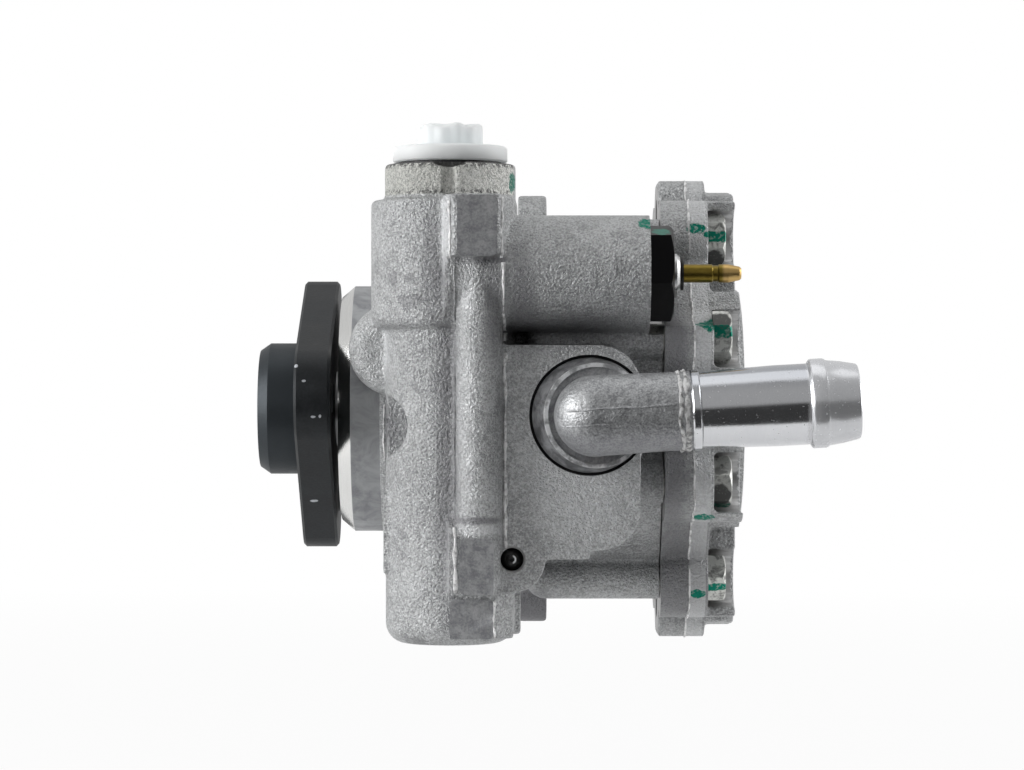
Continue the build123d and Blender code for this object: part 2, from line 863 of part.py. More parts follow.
def make_cam_ring():
    points = [on_circle(cam_radius(turn), turn) for turn in range(0, 360, 15)]
    track = make_face(Spline(*points, periodic=True))
    ring = rod_x(cam_outer_radius, cam_start, rear_plate_start)
    ring = ring - across_x(track, cam_start - 1, rear_plate_start + 1)
    for y, z in pin_places():
        ring = ring - rod_x(pin_radius + fit_gap, cam_start - 1, rear_plate_start + 1, y, z)
    return ring


def make_rear_plate():
    plate = ring_x(pack_radius, plate_bore_radius, rear_plate_start, rear_plate_end)
    for turn in (cam_turn, cam_turn + 180):
        plate = plate - arc_port(turn + port_turn, rear_plate_start - 1, rear_plate_start + blind_port_depth)
        plate = plate - arc_port(turn - port_turn, rear_plate_start - 1, rear_plate_start + blind_port_depth)
    for y, z in pin_places():
        plate = plate - rod_x(pin_radius + fit_gap, rear_plate_start - 1, rear_plate_end + 1, y, z)
    return plate


def make_dowel_pins():
    start = front_plate_start + 1
    end = rear_plate_end + pin_depth
    return Compound(children=[rod_x(pin_radius, start, end, y, z) for y, z in pin_places()])


def vane_angle(number):
    return 360 / vane_count * number + vane_first_angle


def vane_slot_root():
    # radius of the slot's round root: the vane's inner edge at full travel stays clear of it
    return rotor_radius - vane_height - vane_travel


def make_rotor():
    rotor = rod_x(rotor_radius, rotor_start, rotor_end)
    bore = spline_face(spline_outer + spline_gap, spline_depth)
    rotor = rotor - across_x(bore, rotor_start - 1, rotor_end + 1)
    half = vane_thickness / 2 + vane_side_gap
    root = vane_slot_root()
    slot = block(rotor_start - 1, rotor_end + 1, root, rotor_radius + 2, -half, half)
    slot = slot + rod_x(slot_root_radius, rotor_start - 1, rotor_end + 1, root, 0)
    for number in range(vane_count):
        rotor = rotor - Rot(vane_angle(number), 0, 0) * slot
    return rotor


def make_vane(number):
    # at rest the vane's tip is level with the rotor
    tip = rotor_radius - fit_gap
    half = vane_thickness / 2
    vane = block(rotor_start, rotor_end, tip - vane_height, tip, -half, half)
    tips = vane.edges().filter_by(Axis.X).group_by(Axis.Y)[-1]
    return Rot(vane_angle(number), 0, 0) * fillet(tips, half * 0.6)


def make_rotor_circlip():
    start = rotor_end + 0.15
    end = start + rotor_clip_thickness
    outer = spline_outer + rotor_clip_rise
    clip = ring_x(outer, spline_outer - rotor_clip_depth, start, end)
    half = rotor_clip_opening / 2
    return clip - block(start - 1, end + 1, -half, half, 0, outer + 1)


def nipple_line():
    # frame whose X runs along the nipple's axis from the elbow's corner
    return Pos(elbow_x, elbow_axis_y, elbow_z) * Rot(0, -elbow_tilt, 0)


def make_inlet_elbow():
    floor = elbow_pad_face + elbow_spot_depth
    spigot_end = floor + elbow_spigot_length
    spigot = rod_y(elbow_spigot_radius, floor - 1, spigot_end, elbow_x, elbow_z)
    collar = rod_y(elbow_collar_radius, elbow_pad_face, floor, elbow_x, elbow_z)
    # the collar leans to a thin crest with a hollow behind it
    crest_x = elbow_x + elbow_crest_shift
    crest_y = elbow_pad_face - elbow_crest_height
    foot_plane = Plane((elbow_x, elbow_pad_face, elbow_z), x_dir=(1, 0, 0), z_dir=(0, -1, 0))
    crest_plane = Plane((crest_x, crest_y, elbow_z), x_dir=(1, 0, 0), z_dir=(0, -1, 0))
    flank = loft([foot_plane * Circle(elbow_collar_radius), crest_plane * Circle(elbow_crest_radius)])
    hollow_radius = elbow_crest_radius - elbow_crest_wall
    hollow_floor = crest_y + elbow_crest_depth
    collar = collar + flank - rod_y(hollow_radius, crest_y - 1, hollow_floor, crest_x, elbow_z)
    body_x = elbow_x + elbow_body_shift
    upright = rod_y(elbow_body_radius, elbow_axis_y, hollow_floor + 1, body_x, elbow_z)
    corner = Pos(body_x, elbow_axis_y, elbow_z) * Sphere(elbow_body_radius)
    taper_end = elbow_cast_length + nipple_taper_length
    land_end = taper_end + nipple_land_length
    bead_end = land_end + nipple_bead_length
    tip = bead_end + nipple_barb_length
    arm = turned([
        (0, 0),
        (0, elbow_body_radius),
        (elbow_neck_start, elbow_neck_radius),
        (elbow_cast_length - 2.2, elbow_neck_radius),
        (elbow_cast_length - 1.4, elbow_neck_radius + elbow_ridge),
        (elbow_cast_length - 0.4, elbow_neck_radius + elbow_ridge),
        (elbow_cast_length, nipple_start_radius + 0.2),
        (elbow_cast_length, nipple_start_radius),
        (taper_end, nipple_radius),
        (land_end, nipple_radius),
        (land_end + 0.6, nipple_bead_radius),
        (bead_end, nipple_bead_radius),
        (bead_end + 0.6, nipple_bead_radius - 0.5),
        (tip - 0.4, nipple_tip_radius + 0.2),
        (tip, nipple_tip_radius),
        (tip, 0),
    ])
    bore = rod_x(elbow_bore_radius, 0, tip + 1)
    elbow = spigot + collar + upright + corner + nipple_line() * arm
    elbow = elbow - nipple_line() * bore
    elbow = elbow - rod_y(elbow_bore_radius, elbow_axis_y, spigot_end + 1, elbow_x, elbow_z)
    elbow = elbow - Pos(elbow_x, elbow_axis_y, elbow_z) * Sphere(elbow_bore_radius)
    # groove for the seal on the spigot
    middle = floor + spigot_groove
    groove_floor = elbow_spigot_radius - 2 * o_ring_radius
    groove = rod_y(elbow_spigot_radius + 1, middle - 1.2, middle + 1.2, elbow_x, elbow_z)
    groove = groove - rod_y(groove_floor, middle - 2, middle + 2, elbow_x, elbow_z)
    return elbow - groove


def make_inlet_o_ring():
    middle = elbow_pad_face + elbow_spot_depth + spigot_groove
    ring = Rot(90, 0, 0) * Torus(elbow_spigot_radius - o_ring_radius, o_ring_radius - fit_gap)
    return Pos(elbow_x, middle, elbow_z) * ring


def make_sealing_ball():
    middle = elbow_pad_face + sealing_ball_depth
    return Pos(side_hole_x, middle, side_hole_z) * Sphere(side_hole_radius - fit_gap)


def make_valve_plug():
    head_end = valve_boss_end + plug_head_length
    head_face = RegularPolygon(plug_flats / 2, 6, major_radius=False, rotation=plug_turn)
    head = across_x(head_face, valve_boss_end, head_end)
    corner = plug_flats / 2 / math.cos(math.radians(30))
    dome = turned([
        (valve_boss_end - 1, 0),
        (valve_boss_end - 1, corner + 1),
        (head_end - plug_chamfer, corner + 0.4),
        (head_end, plug_flats / 2 - 0.1),
        (head_end, 0),
    ])
    plug = head & dome
    plug = plug + rod_x(valve_thread_radius - fit_gap, plug_thread_start + plug_inset, valve_boss_end + 1)
    groove_floor = valve_thread_radius - 2 * o_ring_radius
    groove_start = valve_boss_end - plug_groove_width
    plug = plug - ring_x(valve_thread_radius + 1, groove_floor, groove_start, valve_boss_end)
    plug = plug - rod_x(plug_hole_radius, plug_thread_start - 1, head_end + 1)
    return Pos(0, valve_y, valve_z) * plug


def make_valve_plug_o_ring():
    middle = valve_boss_end - plug_groove_width / 2
    return torus_x(valve_thread_radius - o_ring_radius, o_ring_radius - fit_gap, middle, valve_y, valve_z)


def make_terminal_insulator():
    outer = plug_hole_radius - fit_gap
    start = plug_thread_start + plug_inset
    end = valve_boss_end + plug_head_length
    return ring_x(outer, terminal_shank_radius + fit_gap, start, end, valve_y, valve_z)


def make_terminal_pin():
    start = plug_thread_start + plug_inset - terminal_stub
    free = terminal_start
    neck = free + terminal_neck_start
    neck_end = neck + terminal_neck_length
    end = free + terminal_length
    waist = terminal_radius - terminal_neck_depth
    return turned([
        (start, 0),
        (start, terminal_shank_radius),
        (free, terminal_shank_radius),
        (free, terminal_radius),
        (neck, terminal_radius),
        (neck + 0.3, waist),
        (neck_end - 0.3, waist),
        (neck_end, terminal_radius),
        (end - terminal_tip_length, terminal_radius),
        (end - 0.4, terminal_tip_radius + 0.15),
        (end, terminal_tip_radius - 0.2),
        (end, 0),
    ], valve_y, valve_z)


def make_retaining_washer():
    start = valve_boss_end + plug_head_length
    end = start + washer_thickness
    hole = terminal_shank_radius + terminal_hole_gap
    washer = turned([
        (start, hole),
        (start, washer_radius),
        (start + washer_land, washer_radius),
        (end, washer_radius - washer_land),
        (end, hole),
    ])
    half = washer_tab_width / 2
    tab = block(start, start + washer_land, -half, half, -washer_radius - washer_tab, -washer_radius + 1)
    return Pos(0, valve_y, valve_z) * (washer + tab)


def make_insulating_disc():
    end = terminal_start
    hole = terminal_shank_radius + terminal_hole_gap
    return ring_x(disc_radius, hole, end - disc_thickness, end, valve_y, valve_z)


def make_valve_spool():
    radius = valve_bore_radius - spool_gap
    waist_start = spool_start + spool_land_length
    waist_end = waist_start + spool_waist_length
    waist_radius = radius - spool_waist_depth
    spool = turned([
        (spool_start, 0),
        (spool_start, radius - 0.5),
        (spool_start + 0.5, radius),
        (waist_start, radius),
        (waist_start, waist_radius),
        (waist_end, waist_radius),
        (waist_end, radius),
        (spool_end, radius),
        (spool_end, 0),
    ])
    # bore for the relief ball, open to the spring's side, and the drilling that feeds it
    seat_start = spool_start + spool_nose
    spool = spool - rod_x(relief_bore_radius, seat_start, spool_end + 1)
    spool = spool - rod_x(feed_hole_radius, spool_start - 1, seat_start + 1)
    return Pos(0, valve_y, valve_z) * spool


def make_relief_seat():
    start = spool_start + spool_nose
    end = start + relief_seat_length
    seat = ring_x(relief_bore_radius - fit_gap, feed_hole_radius, start, end, valve_y, valve_z)
    return seat - Pos(relief_ball_x(), valve_y, valve_z) * Sphere(relief_ball_radius + fit_gap)


def make_relief_screw():
    start = spool_end - relief_screw_length
    outer = relief_bore_radius - fit_gap
    return ring_x(outer, feed_hole_radius, start, spool_end - 0.2, valve_y, valve_z)


def relief_ball_x():
    # the ball rests in the seat's mouth
    return spool_start + spool_nose + relief_seat_length + relief_ball_radius * 0.7


def make_relief_ball():
    return Pos(relief_ball_x(), valve_y, valve_z) * Sphere(relief_ball_radius)


def coil(mean_radius, wire, turns, start, end):
    # coil spring along X between two places, its wire kept inside them
    half = wire / 2
    pitch = (end - start - wire) / turns
    path = Helix(pitch, end - start - wire, mean_radius)
    section = Plane(path @ 0, z_dir=path % 0) * Circle(half)
    spring = sweep(section, path=path, is_frenet=True)
    return Pos(start + half, valve_y, valve_z) * Rot(0, 90, 0) * spring


def make_valve_spring():
    start = spool_end + pack_gap
    end = plug_thread_start + plug_inset - pack_gap
    return coil(valve_spring_radius, valve_spring_wire, valve_spring_turns, start, end)


def make_relief_spring():
    start = relief_ball_x() + relief_ball_radius * 0.8
    end = spool_end - relief_screw_length - fit_gap
    return coil(relief_bore_radius - 0.9, relief_spring_wire, relief_spring_turns, start, end)


def make_port_plug():
    low = port_boss_top + cap_lift
    high = low + cap_disc_thickness
    disc = rounded_rod_z(cap_disc_radius, low, high, 0, 0, 0.3, 0.7)
    stem_radius = port_thread_radius - cap_stem_gap
    stem = rod_z(stem_radius, low - cap_stem_length, low + 1)
    hollow = rod_z(stem_radius - cap_stem_wall, low - cap_stem_length - 1, low - 0.5)
    knob = rod_z(cap_knob_radius, high - 1, high + cap_knob_height)
    for number in range(cap_knob_lobes):
        x, y = on_circle(cap_knob_radius + cap_knob_flute, 360 / cap_knob_lobes * number + cap_flute_turn)
        knob = knob - rod_z(cap_flute_radius, high, high + cap_knob_height + 1, x, y)
    socket = rod_z(cap_socket_radius, high + 1.0, high + cap_knob_height + 1)
    plug = disc + stem + knob - hollow - socket
    return Pos(column_x, column_y, 0) * plug


def make_port_plug_washer():
    top = port_boss_top + cap_lift
    ring = rod_z(port_thread_radius + cap_washer_width, port_boss_top, top, column_x, column_y)
    return ring - rod_z(port_thread_radius, port_boss_top - 1, top + 1, column_x, column_y)


pieces = {
    "housing": make_housing,
    "rear_cover": make_rear_cover,
    "cover_bolts": make_cover_bolts,
    "cover_seal": make_cover_seal,
    "drive_flange": make_drive_flange,
    "drive_shaft": make_drive_shaft,
    "bearing_outer_ring": make_bearing_outer_ring,
    "bearing_inner_ring": make_bearing_inner_ring,
    "bearing_cage": make_bearing_cage,
    "bearing_balls": make_bearing_balls,
    "bearing_circlip": make_bearing_circlip,
    "shaft_seal": make_shaft_seal,
    "seal_spring": make_seal_spring,
    "rear_bush": make_rear_bush,
    "front_plate": make_front_plate,
    "front_plate_o_ring": make_front_plate_o_ring,
    "preload_spring": make_preload_spring,
    "cam_ring": make_cam_ring,
    "rear_plate": make_rear_plate,
    "dowel_pins": make_dowel_pins,
    "rotor": make_rotor,
    "rotor_circlip": make_rotor_circlip,
    "inlet_elbow": make_inlet_elbow,
    "inlet_o_ring": make_inlet_o_ring,
    "sealing_ball": make_sealing_ball,
    "valve_plug": make_valve_plug,
    "valve_plug_o_ring": make_valve_plug_o_ring,
    "terminal_insulator": make_terminal_insulator,
    "terminal_pin": make_terminal_pin,
    "retaining_washer": make_retaining_washer,
    "insulating_disc": make_insulating_disc,
    "valve_spool": make_valve_spool,
    "relief_seat": make_relief_seat,
    "relief_screw": make_relief_screw,
    "relief_ball": make_relief_ball,
    "valve_spring": make_valve_spring,
    "relief_spring": make_relief_spring,
    "port_plug": make_port_plug,
    "port_plug_washer": make_port_plug_washer,
}

os.makedirs("parts", exist_ok=True)
for name, make in pieces.items():
    export_step(make(), f"parts/{name}.step")
for number in range(vane_count):
    export_step(make_vane(number), f"parts/vane_{number + 1:02d}.step")
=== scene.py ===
import math
import bpy
import bmesh
from mathutils import Matrix, Vector, noise
from mathutils.bvhtree import BVHTree


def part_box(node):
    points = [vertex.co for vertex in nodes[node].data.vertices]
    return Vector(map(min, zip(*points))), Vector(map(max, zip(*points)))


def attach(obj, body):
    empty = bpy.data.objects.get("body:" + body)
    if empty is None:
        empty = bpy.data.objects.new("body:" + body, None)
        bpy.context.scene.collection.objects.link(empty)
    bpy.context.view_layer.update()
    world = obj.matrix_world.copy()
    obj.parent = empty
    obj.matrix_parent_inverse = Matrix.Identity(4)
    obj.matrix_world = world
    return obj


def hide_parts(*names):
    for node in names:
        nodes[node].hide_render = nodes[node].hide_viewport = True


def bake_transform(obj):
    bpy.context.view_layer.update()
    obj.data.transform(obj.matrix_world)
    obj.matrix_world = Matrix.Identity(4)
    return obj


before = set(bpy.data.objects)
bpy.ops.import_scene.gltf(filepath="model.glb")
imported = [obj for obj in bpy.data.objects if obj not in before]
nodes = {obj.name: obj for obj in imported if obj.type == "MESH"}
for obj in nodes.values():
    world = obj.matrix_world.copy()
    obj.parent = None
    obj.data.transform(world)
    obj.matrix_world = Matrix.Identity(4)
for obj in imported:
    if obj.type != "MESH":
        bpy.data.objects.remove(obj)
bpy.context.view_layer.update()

mm = 0.001
scene = bpy.context.scene
print("frame loaded:", len(nodes), "solids")


# Shader maths: a field is one socket's output, and an expression on fields adds the Math nodes.
class Field:
    def __init__(self, graph, socket):
        self.graph = graph
        self.socket = socket

    def __add__(self, other):
        return self.graph.math("ADD", self, other)

    def __sub__(self, other):
        return self.graph.math("SUBTRACT", self, other)

    def __rsub__(self, other):
        return self.graph.math("SUBTRACT", other, self)

    def __mul__(self, other):
        return self.graph.math("MULTIPLY", self, other)

    def largest(self, other):
        return self.graph.math("MAXIMUM", self, other)

    def size(self):
        return self.graph.math("ABSOLUTE", self, 0.0)

    __radd__ = __add__
    __rmul__ = __mul__


class Graph:
    # adds nodes to one tree
    def __init__(self, tree):
        self.tree = tree

    def feed(self, socket, value):
        # a link, a colour without alpha, or another value
        if isinstance(value, Field):
            self.tree.links.new(value.socket, socket)
        elif socket.type == "RGBA":
            socket.default_value = (*value, 1.0)
        else:
            socket.default_value = value

    def add(self, kind, settings, inputs, output=0):
        # one node: settings first, then the values or links of its sockets
        node = self.tree.nodes.new("ShaderNode" + kind)
        for name, value in settings.items():
            setattr(node, name, value)
        for name, value in inputs.items():
            self.feed(node.inputs[name], value)
        return Field(self, node.outputs[output])

    def math(self, operation, first, second):
        return self.add("Math", {"operation": operation}, {0: first, 1: second})

    def step(self, value, low, high):
        # 0 below low, 1 above high, smooth between
        settings = {"interpolation_type": "SMOOTHSTEP"}
        return self.add("MapRange", settings, {"Value": value, "From Min": low, "From Max": high})

    def axes(self, place):
        # the three coordinates of a place
        node = self.add("SeparateXYZ", {}, {0: place}).socket.node
        return {label: Field(self, node.outputs[label]) for label in "XYZ"}


class Finish(Graph):
    # a material with one Principled shader, and the nodes that feed it
    def __init__(self, name):
        self.material = bpy.data.materials.new(name)
        self.material.use_nodes = True
        super().__init__(self.material.node_tree)
        self.shader = self.tree.nodes["Principled BSDF"]
        self.parts = {}
        onObject = self.add("TexCoord", {}, {}, "Object")
        # the place on the object in millimetres
        self.place = self.add("VectorMath", {"operation": "SCALE"}, {0: onObject, "Scale": 1 / mm})

    def noise(self, scale, detail=2.0, roughness=0.5, at=None, distortion=0.0):
        return self.add("TexNoise", {}, {
            "Vector": at or self.place, "Scale": scale, "Detail": detail, "Roughness": roughness,
            "Distortion": distortion,
        })

    def stretched(self, factors):
        return self.add("VectorMath", {"operation": "MULTIPLY"}, {0: self.place, 1: factors})

    def axis(self, name):
        if not self.parts:
            self.parts = self.axes(self.place)
        return self.parts[name]

    def mix(self, mask, first, second):
        return self.add("Mix", {"data_type": "RGBA"}, {0: mask, 6: first, 7: second}, 2)

    def away(self, centre, reach):
        # distance from a point, as a share of three half widths
        offset = self.add("VectorMath", {"operation": "SUBTRACT"}, {0: self.place, 1: centre})
        shrunk = self.add("VectorMath", {"operation": "DIVIDE"}, {0: offset, 1: reach})
        return self.add("VectorMath", {"operation": "LENGTH"}, {0: shrunk}, "Value")

    def dab(self, centre, reach, ragged, scale):
        # a spot about a point, with a ragged rim
        edge = self.away(centre, reach) + (self.noise(scale, 3.0) - 0.5) * (2 * ragged)
        return 1 - self.step(edge, 0.8, 1.0)

    def haze(self, centre, reach):
        # a broad soft spot about a point
        return 1 - self.step(self.away(centre, reach), 0.35, 1.1)

    def between(self, name, low, high, soft):
        # 1 where the place's coordinate lies between two values
        value = self.axis(name)
        return self.step(value, low - soft, low + soft) * (1 - self.step(value, high - soft, high + soft))

    def bump(self, height, depth, strength, under=None):
        sockets = {"Height": height, "Distance": depth * mm, "Strength": strength}
        if under is not None:
            sockets["Normal"] = under
        return self.add("Bump", {}, sockets)

    def set(self, **sockets):
        # names are the shader's sockets with spaces left out
        for name, value in sockets.items():
            socket = next(s for s in self.shader.inputs if s.name.replace(" ", "") == name)
            self.feed(socket, value)

    def made(self, colour, roughness, metallic, normal):
        self.set(BaseColor=colour, Roughness=roughness, Metallic=metallic, Normal=normal)
        return self.material


def toned(tone, share):
    # the same colour, darker or lighter
    return tuple(part * share for part in tone)


# Green assembly marks, painted thinly over what lies below them
greenPaint = {
    "tone": (0.004, 0.22, 0.15), "roughness": 0.42, "ragged": 0.5, "scale": 0.9, "cover": (0.55, 0.45),
}


def greenDabs(finish, colour, roughness, dabs):
    paint = greenPaint
    spots = [finish.dab(centre, reach, paint["ragged"], paint["scale"]) for centre, reach in dabs]
    mask = spots[0]
    for spot in spots[1:]:
        mask = mask.largest(spot)
    streak = finish.step(finish.noise(1.4, 3.0), 0.36, 0.52)
    least, more = paint["cover"]
    mask = mask * (least + more * streak)
    return finish.mix(mask, colour, paint["tone"]), roughness * (1 - mask) + mask * paint["roughness"]


# Sand grained aluminium of the housing and the cover
castLook = {
    "light": (0.60, 0.61, 0.615), "dark": (0.33, 0.335, 0.34),
    # the stain tone also colours the painted shade hazes, and the bright tone the painted light and the
    # painted highlight bands
    "stain": (0.22, 0.22, 0.23), "bright": (0.80, 0.81, 0.82),
    "coarse": 0.9, "blotch": 1.1, "fine": 3.0, "level": 0.62,  # what makes up the shade
    "wetShare": 0.35, "stainShare": 0.5,
    "roughness": 0.45, "roughnessRange": 0.25, "metallic": 0.78,
    "grain": 1.7,  # bumps for each millimetre
    "grainDepth": 0.75, "pits": 1.6, "pitShare": 0.25, "swell": 0.22, "swellDepth": 0.5,
}

# Marks on the castings: place, three half widths, and the share of a painted shade or painted light haze
housingMarks = {
    "greens": [
        ((29.4, -42, 49.5), (0.8, 8, 2.4)),  # edge of the port's boss
        ((31, -33, 46.5), (1.5, 8, 1.4)),  # shoulder below it
        ((58.2, -50, 40), (2.0, 14, 1.2)),  # end of the valve's boss
    ],
    "stains": [
        ((7.6, -50, 23.4), (3.2, 6, 2.0)), ((3.7, -50, 28.4), (1.2, 6, 1.8)),
        ((7.5, -50, 28.4), (1.6, 6, 1.4)), ((8, -52, -52), (4, 10, 4)),
    ],
    # painted shade: darker hazes in hollows and valleys, beside the pads and on the lower ear
    "darks": [
        ((0, -40, -3.4), (9, 3, 9), 0.9),  # spot face beside the nose
        ((42, -48, 17.0), (24, 14, 6.0), 0.7),  # valley below the valve's boss
        ((15.8, -53, -8), (4.2, 8, 46), 0.6),  # valley between the column and the rib
        ((13.0, -54, 31), (4.2, 8, 14), 0.5),
        ((31.5, -52, 25), (4.5, 14, 15), 0.65),  # root of the valve's boss
        ((25.5, -57, 22), (2.6, 6, 16), 0.6),  # right side of the rib
        ((22.4, -57, 32.0), (9.0, 8, 1.1), 0.9), ((22.0, -57, -23.5), (9.0, 8, 1.0), 0.8),  # beside the pads
        ((34, -6, -46), (8, 30, 8), 1.0),  # lower ear
    ],
    # painted light: lighter hazes on lit flanks and slopes, and on the elbow's pad
    "lights": [
        ((44, -52, -8), (16, 1.5, 26), 0.5),  # pad of the elbow
        ((5, -38, 14), (9, 6, 9), 0.4),  # swelling beside the nose
        ((19.8, -56, 27), (2.8, 8, 9), 0.7), ((19.4, -56, -2), (2.6, 8, 28), 0.3),  # left side of the rib
        ((21.5, -57, -25.7), (7.5, 8, 1.6), 0.6),  # slope over the lower pad
        ((15.6, -55, 39), (2.6, 6, 12), 0.7),  # left of the upper pad
    ],
    "bands": [],
}

coverMarks = {
    "greens": [
        ((70.5, -24.3, 40.3), (2.5, 8, 1.2)), ((73.6, -21, 39.0), (2.2, 8, 1.0)),
        ((72.5, -42.4, 18.2), (3.0, 8, 1.8)), ((71.0, -45.4, -23.4), (3.0, 8, 0.9)),
        ((70.7, -23, -41.2), (2.0, 8, 1.1)),
    ],
    "stains": [],
    # painted shade: darker hazes on the lower part, in the wedge by the lower screws and along the joint
    "darks": [
        ((67, -30, -38), (12, 32, 20), 0.75), ((65.5, -47, -33), (3.6, 8, 4.0), 0.8),
        ((64.0, -45, 4), (5.5, 24, 50), 0.85),
    ],
    "lights": [],
    # painted highlight along the flange behind the parting ridge
    "bands": [(68.9, 72.6, 0.5)],  # brighter strip behind the parting ridge
}


def castFinish(name, marks, skin=None):
    finish = Finish(name)
    look = castLook
    coarse = finish.noise(0.09, 4.0, 0.6)
    blotch = finish.noise(0.45, 4.0, 0.65, distortion=0.4)
    fine = finish.noise(2.2, 2.0, 0.65, distortion=0.3)
    shade = (coarse - 0.5) * look["coarse"] + (blotch - 0.5) * look["blotch"]
    shade = shade + (fine - 0.5) * look["fine"] + look["level"]
    colour = finish.mix(finish.step(shade, 0.05, 1.1), look["dark"], look["light"])
    wet = finish.step(finish.noise(0.11, 5.0, 0.7, distortion=1.2), 0.57, 0.62)
    colour = finish.mix(wet * look["wetShare"], colour, look["stain"])
    for centre, reach in marks["stains"]:
        spot = finish.dab(centre, reach, 0.7, 0.55)
        colour = finish.mix(spot * look["stainShare"], colour, look["stain"])
    # painted shade and painted light as hazes, then painted highlight bands
    for kind, tone in (("darks", look["stain"]), ("lights", look["bright"])):
        for centre, reach, share in marks[kind]:
            colour = finish.mix(finish.haze(centre, reach) * share, colour, tone)
    for start, end, share in marks["bands"]:
        colour = finish.mix(finish.between("X", start, end, 0.15) * share, colour, look["bright"])
    metallic = look["metallic"]
    if skin:
        colour, metallic = skin(finish, colour, fine, metallic)
    roughness = look["roughness"] + (blotch - 0.5) * look["roughnessRange"]
    colour, roughness = greenDabs(finish, colour, roughness, marks["greens"])
    grains = finish.noise(look["grain"], 3.0, 0.55, distortion=0.3)
    pits = finish.add("TexVoronoi", {"feature": "F1"}, {"Vector": finish.place, "Scale": look["pits"]})
    height = grains + finish.step(pits, 0.0, 0.35) * look["pitShare"]
    normal = finish.bump(finish.noise(look["swell"], 2.0), look["swellDepth"], 0.35)
    normal = finish.bump(height, look["grainDepth"], 0.9, normal)
    return finish.made(colour, roughness, metallic, normal)


# Pale, yellowish skin of the port's boss, with dark pits along its rims, painted light towards its right
# side, and painted shade in its front recess and along the gap under the plug
portSkin = {
    "low": (46.2, 46.9), "right": (29.5, 30.0), "lit": (9.0, 21.0),  # where it starts, ends and gets lighter
    "pale": ((0.36, 0.37, 0.345), (0.66, 0.66, 0.62)), "paler": ((0.58, 0.585, 0.55), (0.97, 0.97, 0.93)),
    "middle": 50.0, "rims": (1.8, 3.0), "gapLine": (53.1, 53.25),
    "sunkAt": (15.9, -52, 53.4), "sunk": (4.0, 9, 1.2), "dark": (0.05, 0.05, 0.05), "metallicLoss": 0.6,
}


def chalkyPort(finish, colour, fine, metallic):
    s = portSkin
    x, z = finish.axis("X"), finish.axis("Z")
    boss = finish.step(z, *s["low"]) * (1 - finish.step(x, *s["right"]))
    worms = finish.noise(1.5, 3.0, 0.7, distortion=1.2) + (fine - 0.5) * 0.8
    worms = finish.step(worms, 0.38, 0.56)
    pale, paler = finish.mix(worms, *s["pale"]), finish.mix(worms, *s["paler"])
    # the boss's skin, lighter towards its right side as painted light
    colour = finish.mix(boss * 0.9, colour, finish.mix(finish.step(x, *s["lit"]), pale, paler))
    rims = finish.step((z - s["middle"]).size(), *s["rims"]) * boss
    holes = finish.step(finish.noise(0.8, 4.0, 0.8, distortion=0.9), 0.5, 0.54)
    # painted shade in the recess at the front of the boss and along the gap under the plug, mixed with the
    # dark pits
    sunk = finish.dab(s["sunkAt"], s["sunk"], 0.2, 0.9)
    sunk = sunk.largest(finish.step(z, *s["gapLine"]) * boss)
    dark = (rims * holes * 0.9).largest(sunk * 0.95)
    return finish.mix(dark, colour, s["dark"]), metallic - s["metallicLoss"] * boss


def machinedFinish():
    # turned aluminium with fine tool marks about the X axis
    finish = Finish("machinedFace")
    tone = (0.62, 0.62, 0.62)
    marks = finish.noise(1.0, 3.0, 0.6, finish.stretched((9, 0.4, 0.4)))
    cloud = finish.noise(0.25, 3.0)
    colour = finish.mix(marks * 0.5 + cloud * 0.5, toned(tone, 0.72), tone)
    normal = finish.bump(marks, 0.03, 0.5)
    return finish.made(colour, 0.28 + 0.2 * cloud, 0.9, normal)


noseLook = {
    "chamferEnd": (-6.6, -6.4),
    "dull": ((0.42, 0.43, 0.44), (0.26, 0.265, 0.28)), "bright": ((0.72, 0.72, 0.71), (0.92, 0.92, 0.90)),
}


def noseFinish():
    # bright turned chamfer in front of a dull mottled pilot
    finish = Finish("nosePilot")
    chamfer = 1 - finish.step(finish.axis("X"), *noseLook["chamferEnd"])
    marks = finish.noise(1.0, 3.0, 0.6, finish.stretched((8, 0.3, 0.3)))
    cloud = finish.noise(0.16, 5.0, 0.7, distortion=0.8)
    dull = finish.mix(finish.step(cloud, 0.35, 0.7), *noseLook["dull"])
    bright = finish.mix(marks, *noseLook["bright"])
    colour = finish.mix(chamfer, dull, bright)
    roughness = 0.5 - 0.28 * chamfer + (cloud - 0.5) * 0.2
    metallic = 0.5 + 0.5 * chamfer
    normal = finish.bump(marks, 0.03, 0.5)
    return finish.made(colour, roughness, metallic, normal)


# Black oxide on the drive flange, with bare nicks, and on the hex plug, with a green mark
flangeLook = {
    "tone": (0.016, 0.018, 0.02), "roughness": 0.45, "specular": 0.5, "greens": [],
    "hubs": [(-18.9, -18.7, (0.034, 0.041, 0.047))],  # bluer in front of this x
    "bare": (0.5, 0.52, 0.55), "nickDepth": 1.2,
    # as seen from the side: x, z and half widths
    "nicks": [
        (-18.3, 9.6, 0.5, 0.4), (-16.5, 6.3, 0.5, 0.3), (-14.5, -1.6, 0.6, 0.3),
        (-12.9, -1.5, 0.3, 0.4), (-15.5, -20.9, 1.1, 0.3), (-19.3, -9.3, 0.3, 0.5),
    ],
}
hexLook = {
    "tone": (0.002, 0.002, 0.0025), "roughness": 0.36, "specular": 0.25,
    "greens": [((61.6, -47, 38.4), (2.2, 10, 0.9))], "hubs": [],
}


def flangeNicks():
    # dabs of bare steel where rays from the side meet the flange
    skin = surfaceOf(nodes["drive_flange"])
    dabs = []
    for x, z, halfX, halfZ in flangeLook["nicks"]:
        spot = skin.ray_cast(Vector((x, -100, z)) * mm, towardsBack)[0]
        if spot is not None:
            dabs.append((tuple(spot / mm), (halfX, flangeLook["nickDepth"], halfZ)))
    return dabs


